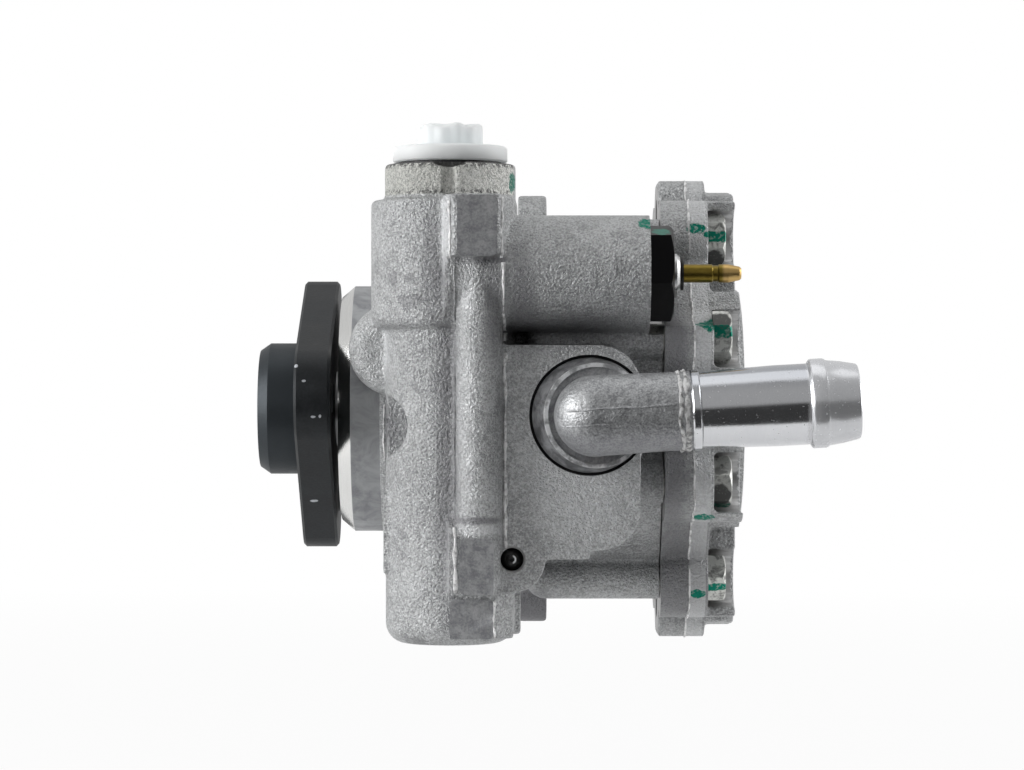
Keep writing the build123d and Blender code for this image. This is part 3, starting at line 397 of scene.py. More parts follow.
def blackSteelFinish(name, look, nicks=()):
    finish = Finish(name)
    cloud = finish.noise(0.12, 5.0, 0.65, distortion=0.5)
    speck = finish.noise(1.8, 2.0)
    mask = finish.step(cloud * 0.7 + speck * 0.3, 0.38, 0.7)
    colour = finish.mix(mask, look["tone"], toned(look["tone"], 1.7))
    for start, end, tone in look["hubs"]:
        colour = finish.mix(1 - finish.step(finish.axis("X"), start, end), colour, tone)
    roughness = look["roughness"] + (cloud - 0.5) * 0.3
    for centre, reach in nicks:
        colour = finish.mix(finish.dab(centre, reach, 0.4, 1.4), colour, look["bare"])
    if look["greens"]:
        colour, roughness = greenDabs(finish, colour, roughness, look["greens"])
    normal = finish.bump(finish.noise(1.6, 4.0), 0.06, 0.5)
    finish.set(SpecularIORLevel=look["specular"])
    return finish.made(colour, roughness, 0.55, normal)


def steelFinish(name, tone=(0.55, 0.56, 0.57), roughness=0.25):
    # ground steel, or another turned metal, with fine tool marks
    finish = Finish(name)
    marks = finish.noise(1.0, 3.0, 0.6, finish.stretched((7, 0.5, 0.5)))
    cloud = finish.noise(0.3, 3.0)
    colour = finish.mix(marks * 0.6 + cloud * 0.4, toned(tone, 0.75), tone)
    normal = finish.bump(marks, 0.02, 0.4)
    return finish.made(colour, roughness + 0.15 * cloud, 1.0, normal)


# Dull zinc on the cover's screws, with dirt and a little green paint
screwLook = {
    "zinc": (0.70, 0.71, 0.68), "dirt": (0.06, 0.06, 0.06), "fleck": (0.30, 0.30, 0.29),
    "dirtAt": [
        ((74.5, -41, -18.5), (3, 8, 2.9)), ((74.5, -41, 19.0), (3, 8, 2.6)), ((74.5, -18, 33), (3, 9, 3)),
    ],
    "greens": [
        ((74.5, -21, 38.6), (5, 8, 1.4)), ((74.5, -43.5, 17.0), (5, 8, 1.6)),
        ((74.5, -43.5, -21.2), (5, 8, 1.0)), ((74.5, -21, -39.8), (5, 8, 0.9)),
    ],
}


def screwFinish():
    look = screwLook
    finish = Finish("screwZinc")
    blotch = finish.noise(0.5, 4.0, 0.65, distortion=0.5)
    flecks = finish.step(finish.noise(1.6, 2.0, 0.6), 0.6, 0.68)
    dirt = finish.step(blotch, 0.46, 0.66) * 0.7
    for centre, reach in look["dirtAt"]:
        dirt = dirt.largest(finish.dab(centre, reach, 0.3, 0.6) * 0.9)
    colour = finish.mix(dirt, look["zinc"], look["dirt"])
    colour = finish.mix(flecks * 0.5, colour, look["fleck"])
    normal = finish.bump(finish.noise(1.4, 3.0), 0.05, 0.4)
    colour, roughness = greenDabs(finish, colour, 0.32 + 0.3 * dirt, look["greens"])
    return finish.made(colour, roughness, 0.8, normal)


def plasticFinish(name, tone, roughness, translucent=0.0):
    finish = Finish(name)
    cloud = finish.noise(0.2, 3.0)
    colour = finish.mix(cloud, toned(tone, 0.96), tone)
    normal = finish.bump(finish.noise(1.5, 3.0), 0.02, 0.4)
    if translucent:
        finish.set(SubsurfaceWeight=translucent, SubsurfaceScale=6.0 * mm, SubsurfaceRadius=(1.0, 1.0, 1.0))
    return finish.made(colour, roughness + (cloud - 0.5) * 0.1, 0.0, normal)


def padFinish():
    # dark, mottled faces cut flat on the pads
    finish = Finish("padCut")
    dark, light = (0.26, 0.265, 0.28), (0.5, 0.505, 0.515)
    cloud = finish.noise(0.35, 4.0, 0.65, distortion=0.5)
    fine = finish.noise(2.0, 3.0, 0.65)
    colour = finish.mix(finish.step(cloud * 0.6 + fine * 0.4, 0.36, 0.64), dark, light)
    normal = finish.bump(fine, 0.12, 0.5)
    return finish.made(colour, 0.5, 0.5, normal)


def flashFinish(name, low, high):
    # broken edges where flash was trimmed off, between two greys
    finish = Finish(name)
    broken = finish.noise(0.8, 3.0, 0.6)
    colour = finish.mix(finish.step(broken, 0.36, 0.56), (low, low, low), (high, high, high))
    normal = finish.bump(finish.noise(2.4, 2.0), 0.1, 0.5)
    return finish.made(colour, 0.42, 0.15, normal)


def rubberFinish(name, gloss=0.4):
    finish = Finish(name)
    cloud = finish.noise(0.5, 4.0)
    colour = finish.mix(cloud, (0.012, 0.012, 0.013), (0.03, 0.03, 0.032))
    normal = finish.bump(finish.noise(3.0, 3.0), 0.01, 0.5)
    return finish.made(colour, gloss + 0.2 * (cloud - 0.3), 0.0, normal)


def ballFinish(at):
    # black ball with a painted glint: a bright arc on its right side
    finish = Finish("glossBall")
    black, bright = (0.01, 0.01, 0.011), (0.95, 0.97, 0.98)
    offset = finish.add("VectorMath", {"operation": "SUBTRACT"}, {0: finish.place, 1: (at[0], 0, at[1])})
    flat = finish.add("VectorMath", {"operation": "MULTIPLY"}, {0: offset, 1: (1, 0, 1)})
    distance = finish.add("VectorMath", {"operation": "LENGTH"}, {0: flat}, "Value")
    # painted glint
    paintedGlint = finish.step(distance, 0.5, 0.65) * (1 - finish.step(distance, 0.85, 1.0))
    side = finish.step(finish.axis("X"), at[0] + 0.05, at[0] + 0.4)
    finish.set(BaseColor=finish.mix(paintedGlint * side, black, bright), Roughness=0.2 + 0.3 * paintedGlint)
    return finish.material


brassLook = {
    "tip": (74.6, 75.6), "gold": (0.62, 0.42, 0.16), "tarnish": ((0.13, 0.09, 0.012), (0.33, 0.24, 0.05)),
}


def brassFinish():
    # olive tarnish that clears to gold at the tip
    finish = Finish("terminalBrass")
    gold = finish.step(finish.axis("X"), *brassLook["tip"])
    cloud = finish.noise(0.8, 4.0, 0.6, finish.stretched((1, 2, 2)))
    tarnish = finish.mix(cloud, *brassLook["tarnish"])
    colour = finish.mix(gold, tarnish, brassLook["gold"])
    normal = finish.bump(finish.noise(3.0, 2.0, at=finish.stretched((8, 1, 1))), 0.02, 0.4)
    return finish.made(colour, 0.24 + 0.2 * cloud, 0.95, normal)


# Elbow: cast up to the parting ring, with a smooth collar, painted in shade on its flank and with a painted
# highlight on its crest, and a bright turned nipple
elbowLook = {
    "cast": ((0.25, 0.255, 0.265), (0.56, 0.57, 0.58)),
    # painted shade under the arm
    "below": (-7.5, -1.5), "belowTone": (0.20, 0.20, 0.22), "belowShare": 0.45,
    # painted highlight on the lit corner, and rust: place, half widths, ragged rim and its scale, share,
    # tone
    "spots": [
        ((43.2, -76, 0.8), (3.0, 8, 3.6), 0.35, 0.5, 0.3, (0.85, 0.86, 0.87)),
        ((47.5, -62, -11.0), (5.5, 9, 2.6), 0.6, 0.7, 0.6, (0.17, 0.09, 0.045)),
    ],
    # the flank is painted in shade and the crest with a painted highlight
    "flank": ((0.13, 0.132, 0.138), (0.42, 0.425, 0.44)),
    "crest": ((0.34, 0.345, 0.355), (0.86, 0.87, 0.88)), "crestEnd": (-56.4, -56.1),
    "turned": ((0.66, 0.67, 0.7), (0.9, 0.91, 0.93)), "speck": (0.95, 0.95, 0.97),
    # painted shade along the nipple's top
    "top": (3.0, 6.5), "topTone": (0.42, 0.44, 0.48), "topShare": 0.65,
    "barb": (90.6, 91.4),
}


def armHeight(finish):
    # height over the elbow's leaning arm, but for the height of its corner
    return finish.axis("Z") - (finish.axis("X") - elbow["at"][0]) * elbow["slope"]


def elbowFinish():
    look = elbowLook
    finish = Finish("elbowCast")
    blotch = finish.noise(0.4, 4.0, 0.65, distortion=0.4)
    fine = finish.noise(2.4, 2.0, 0.6)
    shade = (blotch - 0.5) * 1.3 + (fine - 0.5) * 1.9 + 0.55
    colour = finish.mix(finish.step(shade, 0.0, 1.1), *look["cast"])
    # painted shade under the arm
    below = 1 - finish.step(armHeight(finish), *look["below"])
    colour = finish.mix(below * look["belowShare"], colour, look["belowTone"])
    # painted highlight on the corner, and rust
    for *spot, share, tone in look["spots"]:
        colour = finish.mix(finish.dab(*spot) * share, colour, tone)
    normal = finish.bump(finish.noise(1.1, 3.0, 0.6), 0.55, 0.6)
    return finish.made(colour, 0.42 + (blotch - 0.5) * 0.3, 0.65, normal)


def collarFinish():
    look = elbowLook
    finish = Finish("elbowCollar")
    cloud = finish.noise(0.3, 4.0, 0.6, distortion=0.4)
    # painted shade on the flank, painted highlight on the crest
    colour = finish.mix(finish.step(cloud, 0.35, 0.7), *look["flank"])
    crest = finish.mix(finish.step(finish.noise(0.5, 3.0), 0.35, 0.6), *look["crest"])
    colour = finish.mix(1 - finish.step(finish.axis("Y"), *look["crestEnd"]), colour, crest)
    normal = finish.bump(finish.noise(1.4, 3.0, 0.5), 0.12, 0.5)
    return finish.made(colour, 0.36 + 0.1 * cloud, 0.5, normal)


def nippleFinish():
    look = elbowLook
    finish = Finish("nippleTurned")
    rings = finish.noise(1.2, 4.0, 0.7, finish.stretched((6, 0.25, 0.25)))
    smear = finish.noise(0.35, 5.0, 0.7, finish.stretched((0.6, 1, 1)), 0.6)
    colour = finish.mix(rings * 0.6 + smear * 0.4, *look["turned"])
    specks = finish.step(finish.noise(1.6, 1.0), 0.7, 0.74)
    colour = finish.mix(specks * 0.6, colour, look["speck"])
    barb = finish.step(finish.axis("X"), *look["barb"])
    # painted shade along the top, up to the barb, dimming the reflection there
    top = finish.step(armHeight(finish) - elbow["at"][1], *look["top"]) * (1 - barb)
    colour = finish.mix(top * look["topShare"], colour, look["topTone"])
    normal = finish.bump(rings, 0.025, 0.5)
    roughness = 0.1 + 0.12 * smear + 0.3 * specks + 0.06 * barb
    return finish.made(colour, roughness, 1.0 - 0.4 * barb, normal)


# Mesh helpers: lengths are in millimetres, and the helpers turn them to metres.
turnTo = {
    "X": Matrix.Rotation(math.radians(90), 4, "Y"),
    "Y": Matrix.Rotation(math.radians(-90), 4, "X"),
    "Z": Matrix.Identity(4),
}
turnAlongY = Matrix.Rotation(math.radians(90), 4, "Z")  # turns what lies along X to lie along Y
towardsBack = Vector((0, 1, 0))
rayGap = 0.45  # between the rays that carry a line of flash


def addRod(mesh, across, axis, radius, start, end, facets=96, endRadius=None):
    # across holds the two coordinates across the axis, in the order of X, Y and Z
    middle = list(across)
    middle.insert("XYZ".index(axis), (start + end) / 2)
    return bmesh.ops.create_cone(
        mesh, cap_ends=True, segments=facets, radius1=radius * mm, radius2=(endRadius or radius) * mm,
        depth=(end - start) * mm, matrix=Matrix.Translation(Vector(middle) * mm) @ turnTo[axis])["verts"]


def addRods(mesh, groups, places):
    # each group names its places, and has the rods that stand at each of them
    for where, rods in groups:
        for across in places[where]:
            for rod in rods:
                addRod(mesh, across, *rod)


def addBox(mesh, low, high):
    low, high = Vector(low), Vector(high)
    size = Matrix.Diagonal((*((high - low) * mm), 1))
    place = Matrix.Translation((low + high) / 2 * mm)
    return bmesh.ops.create_cube(mesh, size=1, matrix=place @ size)["verts"]


def addTurned(mesh, outline, facets=128):
    # turns an outline of (x, radius) points about X; a closed outline makes a ring
    corners = [mesh.verts.new(Vector((x, 0, radius)) * mm) for x, radius in outline]
    edges = [mesh.edges.new(pair) for pair in zip(corners, corners[1:])]
    bmesh.ops.spin(
        mesh, geom=corners + edges, cent=(0, 0, 0), axis=(1, 0, 0), angle=math.tau,
        steps=facets, use_merge=True, use_duplicate=False)
    bmesh.ops.remove_doubles(mesh, verts=mesh.verts, dist=1e-7)


def addStrip(mesh, spots, outs, width, height, ragged):
    # a ragged raised line of casting flash along points on a surface
    rows = []
    for number, (spot, out) in enumerate(zip(spots, outs)):
        before, after = spots[max(number - 1, 0)], spots[min(number + 1, len(spots) - 1)]
        side = out.cross(after - before).normalized()
        seed = spot / mm
        lift = height * max(0.3, 0.8 + 1.0 * noise.noise(seed * 0.7))
        half = width * (0.5 + 0.4 * noise.noise(seed * 0.45 + Vector((7, 0, 0))))
        shift = ragged * noise.noise(seed * 0.22 + Vector((0, 5, 0)))
        shape = ((-1.2, -0.4), (-0.6, lift * 0.7), (0.0, lift), (0.6, lift * 0.7), (1.2, -0.4))
        rows.append([
            mesh.verts.new(spot + (side * (shift + half * across) + out * up) * mm) for across, up in shape
        ])
    for first, second in zip(rows, rows[1:]):
        for corner in range(len(first)):
            other = (corner + 1) % len(first)
            mesh.faces.new((first[corner], first[other], second[other], second[corner]))
    mesh.faces.new(rows[0])
    mesh.faces.new(rows[-1])


def addFlash(mesh, tree, rays, width, height, ragged=0.3):
    # drops each ray on to a surface and lays flash over the unbroken stretches
    spots, outs = [], []
    for start, way in [*rays, (None, None)]:
        spot = None if start is None else tree.ray_cast(start * mm, way)[0]
        if spots and (spot is None or (spot - spots[-1]).length > 1.5 * mm):
            if len(spots) > 3:
                addStrip(mesh, spots, outs, width, height, ragged)
            spots, outs = [], []
        if spot is not None:
            spots.append(spot)
            outs.append(-way)


def spaced(low, high):
    return [low + rayGap * number for number in range(int((high - low) / rayGap))]


def ringRays(x, radius, count):
    # rays from all round towards one point of the X axis
    rays = []
    for number in range(count + 1):
        turn = math.tau * number / count
        out = Vector((0, math.cos(turn), math.sin(turn)))
        rays.append((Vector((x, 0, 0)) + out * radius, -out))
    return rays


def movedRays(rays, line):
    return [((line @ (start * mm)) / mm, line.to_3x3() @ way) for start, way in rays]


def surfaceOf(thing):
    mesh = bmesh.new()
    mesh.from_mesh(thing.data)
    tree = BVHTree.FromBMesh(mesh)
    mesh.free()
    return tree


def newObject(name, mesh, materials):
    data = bpy.data.meshes.new(name)
    bmesh.ops.recalc_face_normals(mesh, faces=mesh.faces)
    mesh.to_mesh(data)
    mesh.free()
    made = bpy.data.objects.new(name, data)
    scene.collection.objects.link(made)
    for material in materials:
        data.materials.append(material)
    return made


def nodeCopy(name):
    # merged copy of a solid's mesh
    mesh = bmesh.new()
    mesh.from_mesh(nodes[name].data)
    bmesh.ops.remove_doubles(mesh, verts=mesh.verts, dist=1e-6)
    return mesh


def settle(thing):
    # the modifiers' result becomes the mesh
    graph = bpy.context.evaluated_depsgraph_get()
    data = bpy.data.meshes.new_from_object(thing.evaluated_get(graph))
    thing.modifiers.clear()
    thing.data = data


def cutWith(thing, tool, operation="DIFFERENCE"):
    modifier = thing.modifiers.new("cut", "BOOLEAN")
    modifier.operation = operation
    modifier.object = tool
    modifier.solver = "MANIFOLD"
    modifier.material_mode = "TRANSFER"
    settle(thing)
    bpy.data.objects.remove(tool)


def makeTool(material, build, *values, turn=None):
    # something to cut or join with: build is a mesh helper, and the values are what it asks for
    mesh = bmesh.new()
    build(mesh, *values)
    if turn is not None:
        bmesh.ops.transform(mesh, matrix=turn, verts=mesh.verts)
    return newObject("tool", mesh, [material])


def cut(thing, *tool, turn=None):
    cutWith(thing, makeTool(*tool, turn=turn))


def join(thing, *tool, turn=None):
    cutWith(thing, makeTool(*tool, turn=turn), "UNION")


def cutRods(thing, groups, places, materials):
    # as addRods, but takes the rods away one by one; each starts with its material's name
    for where, rods in groups:
        for across in places[where]:
            for name, *rod in rods:
                cut(thing, materials[name], addRod, across, *rod)


def castSkin(name, mesh, cast, look):
    # one closed skin with small fillets in place of sharp corners
    thing = newObject(name, mesh, [cast])
    remesh = thing.modifiers.new("skin", "REMESH")
    remesh.mode = "VOXEL"
    remesh.voxel_size = look["voxel"] * mm
    smooth = thing.modifiers.new("fillets", "SMOOTH")
    smooth.factor = 0.5
    smooth.iterations = look["rounds"]
    settle(thing)
    thin = thing.modifiers.new("thin", "DECIMATE")
    thin.ratio = min(1.0, look["triangles"] / (2 * len(thing.data.polygons)))
    settle(thing)
    thing.data.materials.clear()
    thing.data.materials.append(cast)
    return thing


def screwPlaces(circle):
    # the eight screws of the cover, as (y, z)
    turns = [math.radians(45 * number + 22.5) for number in range(8)]
    return [(circle * math.cos(turn), circle * math.sin(turn)) for turn in turns]


def shadeByAngle(thing, degrees):
    bpy.context.view_layer.objects.active = thing
    for other in bpy.context.selected_objects:
        other.select_set(False)
    thing.select_set(True)
    bpy.ops.object.shade_smooth_by_angle(angle=math.radians(degrees))


def finishPiece(thing, sharp, node, ends=None):
    # a piece with ends stays where it is instead of riding on the pump body
    shadeByAngle(thing, sharp)
    if ends is None:
        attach(thing, "pump_body")
    else:
        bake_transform(thing)
    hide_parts(node)
    print("piece", thing.name, len(thing.data.polygons), "faces")


# Housing: the cast form gets soft corners, then the machined faces and bores are cut crisp.
housing = {
    "voxel": 0.5, "rounds": 4, "triangles": 170000, "sharp": 32,
    "places": {
        "axis": [(0, 0)], "screws": screwPlaces(41.3), "ears": [(0, -41.4), (0, 41.4)],
        "valve": [(-44.5, 29.6)], "port": [(15.9, -38.0)], "elbow": [(46.1, -1.1)],
        "side": [(29.4, -32.1)], "spot": [(-0.1, -3.4)], "dot": [(1.5, -2.4)], "hollow": [(15.9, 57.9)],
    },
    # rods that close the bores for the skin: axis, radius, start, end, facets, the end's radius
    "fillers": [
        ("axis", [("X", 38.58, 26.0, 65.1), ("X", 29.28, 7.0, 26.0, 96, 38.58), ("X", 22.02, -4, 10)]),
        ("screws", [("X", 4.6, 50, 65.1, 48)]),
        ("valve", [("X", 12.59, 20, 60.3)]),
        ("port", [("Z", 9.5, 20, 53.2), ("Z", 6.0, -44, 25)]),
        ("elbow", [("Y", 14.0, -51.99, -25)]),
        ("side", [("Y", 4.0, -51.99, -40)]),
        ("ears", [("X", 5.0, 30.81, 37.29, 48)]),
    ],
    "jointFace": ((62.35, -70, -70), (80, 70, 70)),
    # cuts in their order: the material, then the rod
    "cuts": [
        ("axis", [("machined", "X", 30.6, -30, 0.05, 160)]),  # nose end
        ("valve", [("machined", "X", 13.4, 59.1, 63.6)]),  # boss end
        ("axis", [
            ("machined", "X", 20.02, -20, 5.65),  # bearing
            ("machined", "X", 15.02, 5, 13.55),  # seal
            ("machined", "X", 33.0, 31.0, 63.6),  # cavity
            ("machined", "X", 14.0, 13, 32),  # shaft
        ]),
        ("screws", [("machined", "X", 3.02, 44.6, 63.6, 32)]),
        ("port", [("machined", "Z", 8.0, 39.5, 54.5, 64)]),
        ("valve", [("machined", "X", 9.0, 40, 60.1, 64), ("machined", "X", 8.0, 27, 45, 64)]),
        # the spot face round the collar is cut in black as painted shade
        ("elbow", [("gap", "Y", 13.0, -55, -49.5, 128), ("machined", "Y", 9.52, -50.5, -37, 64)]),
        ("side", [("machined", "Y", 2.5, -55, -43, 64)]),
        ("spot", [("cast", "Y", 7.0, -70, -41.5, 96)]),
        ("ears", [("machined", "X", 4.25, 25, 45, 48)]),
    ],
    # boxes cut into the collar's front edge: two corners each
    "notches": [((-2, -60, -12.0), (0.75, -33, 2.6)), ((-2, -60, -17.6), (1.5, -33, -11.6))],
    # tiny hole beside them, hollow above the port's groove, ring round the side hole
    "details": [
        ("dot", [("cast", "Y", 0.95, -70, -39.5, 24)]),
        ("hollow", [("cast", "Y", 5.7, -60, -49.5, 96)]),
        ("side", [("machined", "Y", 3.0, -52.05, -51.5, 64, 2.5)]),
    ],
    # (x, radius) of the pilot
    "nose": [(-9.4, 20.02), (-9.4, 25.6), (-6.5, 28.1), (1.5, 28.1), (1.5, 20.02), (-9.4, 20.02)],
    # flat cut faces: left, right, low, high, face
    "cutFaces": [
        (17.7, 26.2, 32.9, 45.9, -58.95), (18.2, 25.5, -39.4, -27.3, -57.4),
        (16.0, 25.4, -49.2, -40.6, -52.45),
    ],
    "plate": 1.5, "plateCorner": 1.2,
    # upright lines: x, low, high, width, height
    "flash": [
        (27.9, -29.5, 13.0, 0.9, 0.65), (27.6, 14.0, 32.0, 0.8, 0.55), (27.2, 32.5, 46.2, 0.7, 0.4),
        (16.2, 32.5, 45.5, 0.6, 0.35), (25.6, -50.5, -40.5, 0.7, 0.4),
        (17.2, -39.0, -24.5, 1.0, 0.4), (1.05, -11.5, 1.8, 0.6, 0.4),
    ],
    "castLines": [(17.2, -23.0, 31.5, 0.5, 0.3), (51.6, 28.5, 33.5, 0.5, 0.2), (52.6, 29.5, 34.0, 0.4, 0.2)],
}


def addPlates(mesh):
    # thin plates with rounded corners for the faces that are cut flat
    h = housing
    for left, right, low, high, face in h["cutFaces"]:
        made = addBox(mesh, (left, face, low), (right, face + h["plate"], high))
        edges = [edge for edge in mesh.edges if edge.verts[0] in made and edge.verts[1] in made]
        upright = [edge for edge in edges if abs(edge.verts[0].co.y - edge.verts[1].co.y) > 1 * mm]
        bmesh.ops.bevel(
            mesh, geom=upright, offset=h["plateCorner"] * mm, segments=4, profile=0.5,
            affect="EDGES", material=-1)


def addLines(mesh, skin, lines):
    for x, low, high, width, height in lines:
        rays = [(Vector((x, -100, z)), towardsBack) for z in spaced(low, high)]
        addFlash(mesh, skin, rays, width, height)


def buildHousing(materials):
    h = housing
    mesh = nodeCopy("housing")
    addRods(mesh, h["fillers"], h["places"])
    piece = castSkin("pumpHousing", mesh, materials["cast"], h)
    # the joint face is cut in black as painted shade along the joint line
    cut(piece, materials["gap"], addBox, *h["jointFace"])
    cutRods(piece, h["cuts"], h["places"], materials)
    for corners in h["notches"]:
        cut(piece, materials["cast"], addBox, *corners)
    cutRods(piece, h["details"], h["places"], materials)
    # turned pilot with its bright chamfer, flat faces, and lines left by the mould
    join(piece, materials["nose"], addTurned, h["nose"], 160)
    join(piece, materials["pad"], addPlates)
    for key, name in (("castLines", "cast"), ("flash", "flash")):
        join(piece, materials[name], addLines, surfaceOf(piece), h[key])
    finishPiece(piece, h["sharp"], "housing")


# Rear cover: a cast flange with a raised cross shaped back and pockets for the screws.
cover = {
    "voxel": 0.5, "rounds": 3, "triangles": 130000, "sharp": 32,
    "places": {
        "axis": [(0, 0)], "screws": screwPlaces(41.3), "ears": [(0, -44.6), (0, 44.6)],
        "valve": [(-44.5, 29.6)],
    },
    # rods and a block that close the bores, as in the housing
    "waist": [("axis", [("X", 40.19, 59, 72.7, 128)])],
    "block": ((59, -10.0, -47.0), (72.2, 10.0, 47.0)),
    "fillers": [
        ("axis", [("X", 12, 58, 78.7)]),
        ("ears", [("X", 5.0, 60, 79.4, 48)]),
        ("screws", [("X", 8.79, 59, 73.19, 64)]),
    ],
    "jointFace": ((40, -70, -70), (62.6, 70, 70)),
    "cuts": [
        ("valve", [("cast", "X", 11.6, 61.6, 80.7, 64)]),
        ("axis", [("machined", "X", 8.55, 55, 75.1, 64)]),  # bush
        ("screws", [("machined", "X", 3.02, 60, 75, 32), ("machined", "X", 6.5, 73.2, 84, 64)]),
        ("ears", [("machined", "X", 3.4, 60, 90, 48)]),
    ],
    # parting ridge round the outline: its x, where its rays start, their number, width and height
    "ridge": (68.9, 80, 720), "ridgeShape": (0.55, 0.35),
}


def buildCover(materials):
    c = cover
    mesh = nodeCopy("rear_cover")
    addRods(mesh, c["waist"], c["places"])
    addBox(mesh, *c["block"])
    addRods(mesh, c["fillers"], c["places"])
    piece = castSkin("rearCover", mesh, materials["cast"], c)
    cut(piece, materials["machined"], addBox, *c["jointFace"])
    cutRods(piece, c["cuts"], c["places"], materials)
    join(piece, materials["flash"], addFlash, surfaceOf(piece), ringRays(*c["ridge"]), *c["ridgeShape"])
    finishPiece(piece, c["sharp"], "rear_cover")


# Inlet elbow: a leaning collar, a cast bend with its flash, and a turned hose nipple.
elbow = {
    "voxel": 0.4, "rounds": 3, "triangles": 80000, "sharp": 32,
    "tilt": 3.2, "slope": 0.056,  # the arm's lean, in degrees and as a slope
    "at": (46.1, -1.1), "axisY": -68.5, "bore": 6.4, "castEnd": 23.0,
    "body": 8.58, "bodyShift": 0.8, "neck": 8.28, "neckStart": 15.0,
    "collar": 12.38, "padFace": -52.0, "crestTop": -56.6, "crest": 11.18, "crestShift": 1.4,
    "crestWall": 0.8, "crestDepth": 1.2, "spigotEnd": -40.0,
    # (y, radius) of the collar's foot and the spigot with its seal groove
    "spigot": [
        (-52.1, 0), (-52.1, 12.38), (-49.5, 12.38), (-49.5, 9.5), (-46.7, 9.5), (-46.7, 7.5),
        (-44.3, 7.5), (-44.3, 9.5), (-40.0, 9.5), (-40.0, 0),
    ],
    # (place along the arm, radius)
    "nipple": [
        (20.8, 6.4), (20.8, 8.2), (21.2, 8.5), (22.5, 8.5), (22.7, 8.3), (22.8, 8.02),
        (38.5, 8.5), (45.5, 8.5), (46.0, 9.25), (46.3, 9.4),
        (48.8, 9.4), (49.2, 9.25), (49.6, 8.95), (52.5, 8.6), (55.4, 8.0), (55.9, 7.85), (56.1, 7.6),
        (56.1, 6.7), (55.8, 6.4), (20.8, 6.4),
    ],
    # lines of flash along the arm: start, end, height over the axis, width, lift
    "ridges": [(-5.5, 18.0, 1.4, 0.6, 0.45), (-5.5, 4.0, -1.9, 0.6, 0.4)],
    # ragged rings of flash near the end of the casting: place, width, lift, wander
    "rings": [(18.6, 0.9, 0.45, 1.0), (19.9, 1.3, 0.45, 0.5)],
}


def addBend(mesh, middle, line):
    # upright part, round corner and the cast start of the arm
    e = elbow
    z = e["at"][1]
    addRod(mesh, (middle, z), "Y", e["body"], e["axisY"], e["padFace"])
    corner = Matrix.Translation(Vector((middle, e["axisY"], z)) * mm)
    bmesh.ops.create_uvsphere(mesh, u_segments=64, v_segments=48, radius=e["body"] * mm, matrix=corner)
    arm = addRod(mesh, (0, 0), "X", e["body"], 0, e["neckStart"], 96, e["neck"])
    arm += addRod(mesh, (0, 0), "X", e["neck"], e["neckStart"] - 1, e["castEnd"])
    bmesh.ops.transform(mesh, matrix=line, verts=arm)


def addFlank(mesh):
    # the collar's flank, whose front end leans towards the nipple
    e = elbow
    made = addRod(mesh, e["at"], "Y", e["crest"], e["crestTop"], e["padFace"], 128, e["collar"])
    front = [vert for vert in made if vert.co.y < (e["crestTop"] + 1) * mm]
    bmesh.ops.translate(mesh, verts=front, vec=(e["crestShift"] * mm, 0, 0))


def addArmRidges(mesh, skin, line):
    for start, end, height, width, lift in elbow["ridges"]:
        rays = [(Vector((x, -30, height)), towardsBack) for x in spaced(start, end)]
        addFlash(mesh, skin, movedRays(rays, line), width, lift)


def addArmRings(mesh, skin, line):
    for along, width, lift, wander in elbow["rings"]:
        addFlash(mesh, skin, movedRays(ringRays(along, 20, 140), line), width, lift, wander)


def buildElbow(cast, collarCast, hollowShade, turned, flash):
    e = elbow
    x, z = e["at"]
    corner = Matrix.Translation(Vector((x, e["axisY"], z)) * mm)
    line = corner @ Matrix.Rotation(math.radians(-e["tilt"]), 4, "Y")
    mesh = bmesh.new()
    addBend(mesh, x + e["bodyShift"], line)
    piece = castSkin("inletElbow", mesh, cast, e)
    # collar: leaning flank with a hollow behind its thin crest, cut with the darker material as painted
    # shade, then the foot with the spigot
    hollow = e["crest"] - e["crestWall"], e["crestTop"] - 1, e["crestTop"] + e["crestDepth"]
    collar = makeTool(collarCast, addFlank)
    cut(collar, hollowShade, addRod, (x + e["crestShift"], z), "Y", *hollow, 128)
    cutWith(piece, collar, "UNION")
    upright = Matrix.Translation(Vector((x, 0, z)) * mm) @ turnAlongY
    join(piece, collarCast, addTurned, e["spigot"], 128, turn=upright)
    cut(piece, turned, addBox, (e["castEnd"], -30, -30), (90, 30, 30), turn=line)
    # flash: two parting ridges along the arm and two ragged rings near its end, on the same skin
    skin = surfaceOf(piece)
    join(piece, cast, addArmRidges, skin, line)
    join(piece, flash, addArmRings, skin, line)
    join(piece, turned, addTurned, e["nipple"], 160, turn=line)
    cut(piece, turned, addRod, (0, 0), "X", e["bore"], 0, 60, 64, turn=line)
    bore = e["bore"], e["axisY"] - 0.01, e["spigotEnd"] + 3
    cut(piece, turned, addRod, (x, z), "Y", *bore, 64)
    finishPiece(piece, e["sharp"], "inlet_elbow")


# Transport plug: a soft white disc with a lobed knob.
plug = {
    "at": (15.9, -38.0), "low": 54.0, "high": 57.5, "top": 62.4, "sharp": 40,
    "disc": 12.5, "chamfer": 0.3, "stem": 7.85, "stemWall": 1.45, "stemEnd": 44.0, "skin": 0.5,
    # rounded rims: how far in from the radius and down from the top
    "discRim": [(0, 0.7), (0.15, 0.35), (0.5, 0.08), (0.9, 0)],
    "knobRim": [(0, 1.0), (0.12, 0.5), (0.45, 0.12), (0.9, 0)],
    "knob": 7.3, "knobFoot": 0.6, "middle": 4.3, "middleDip": 0.3,
    "socket": 3.4, "socketEdge": 0.2, "socketFloor": 1.0,
    "lobes": 6, "dip": 0.75, "flute": 0.35, "turn": 15.0, "steps": 180,
}


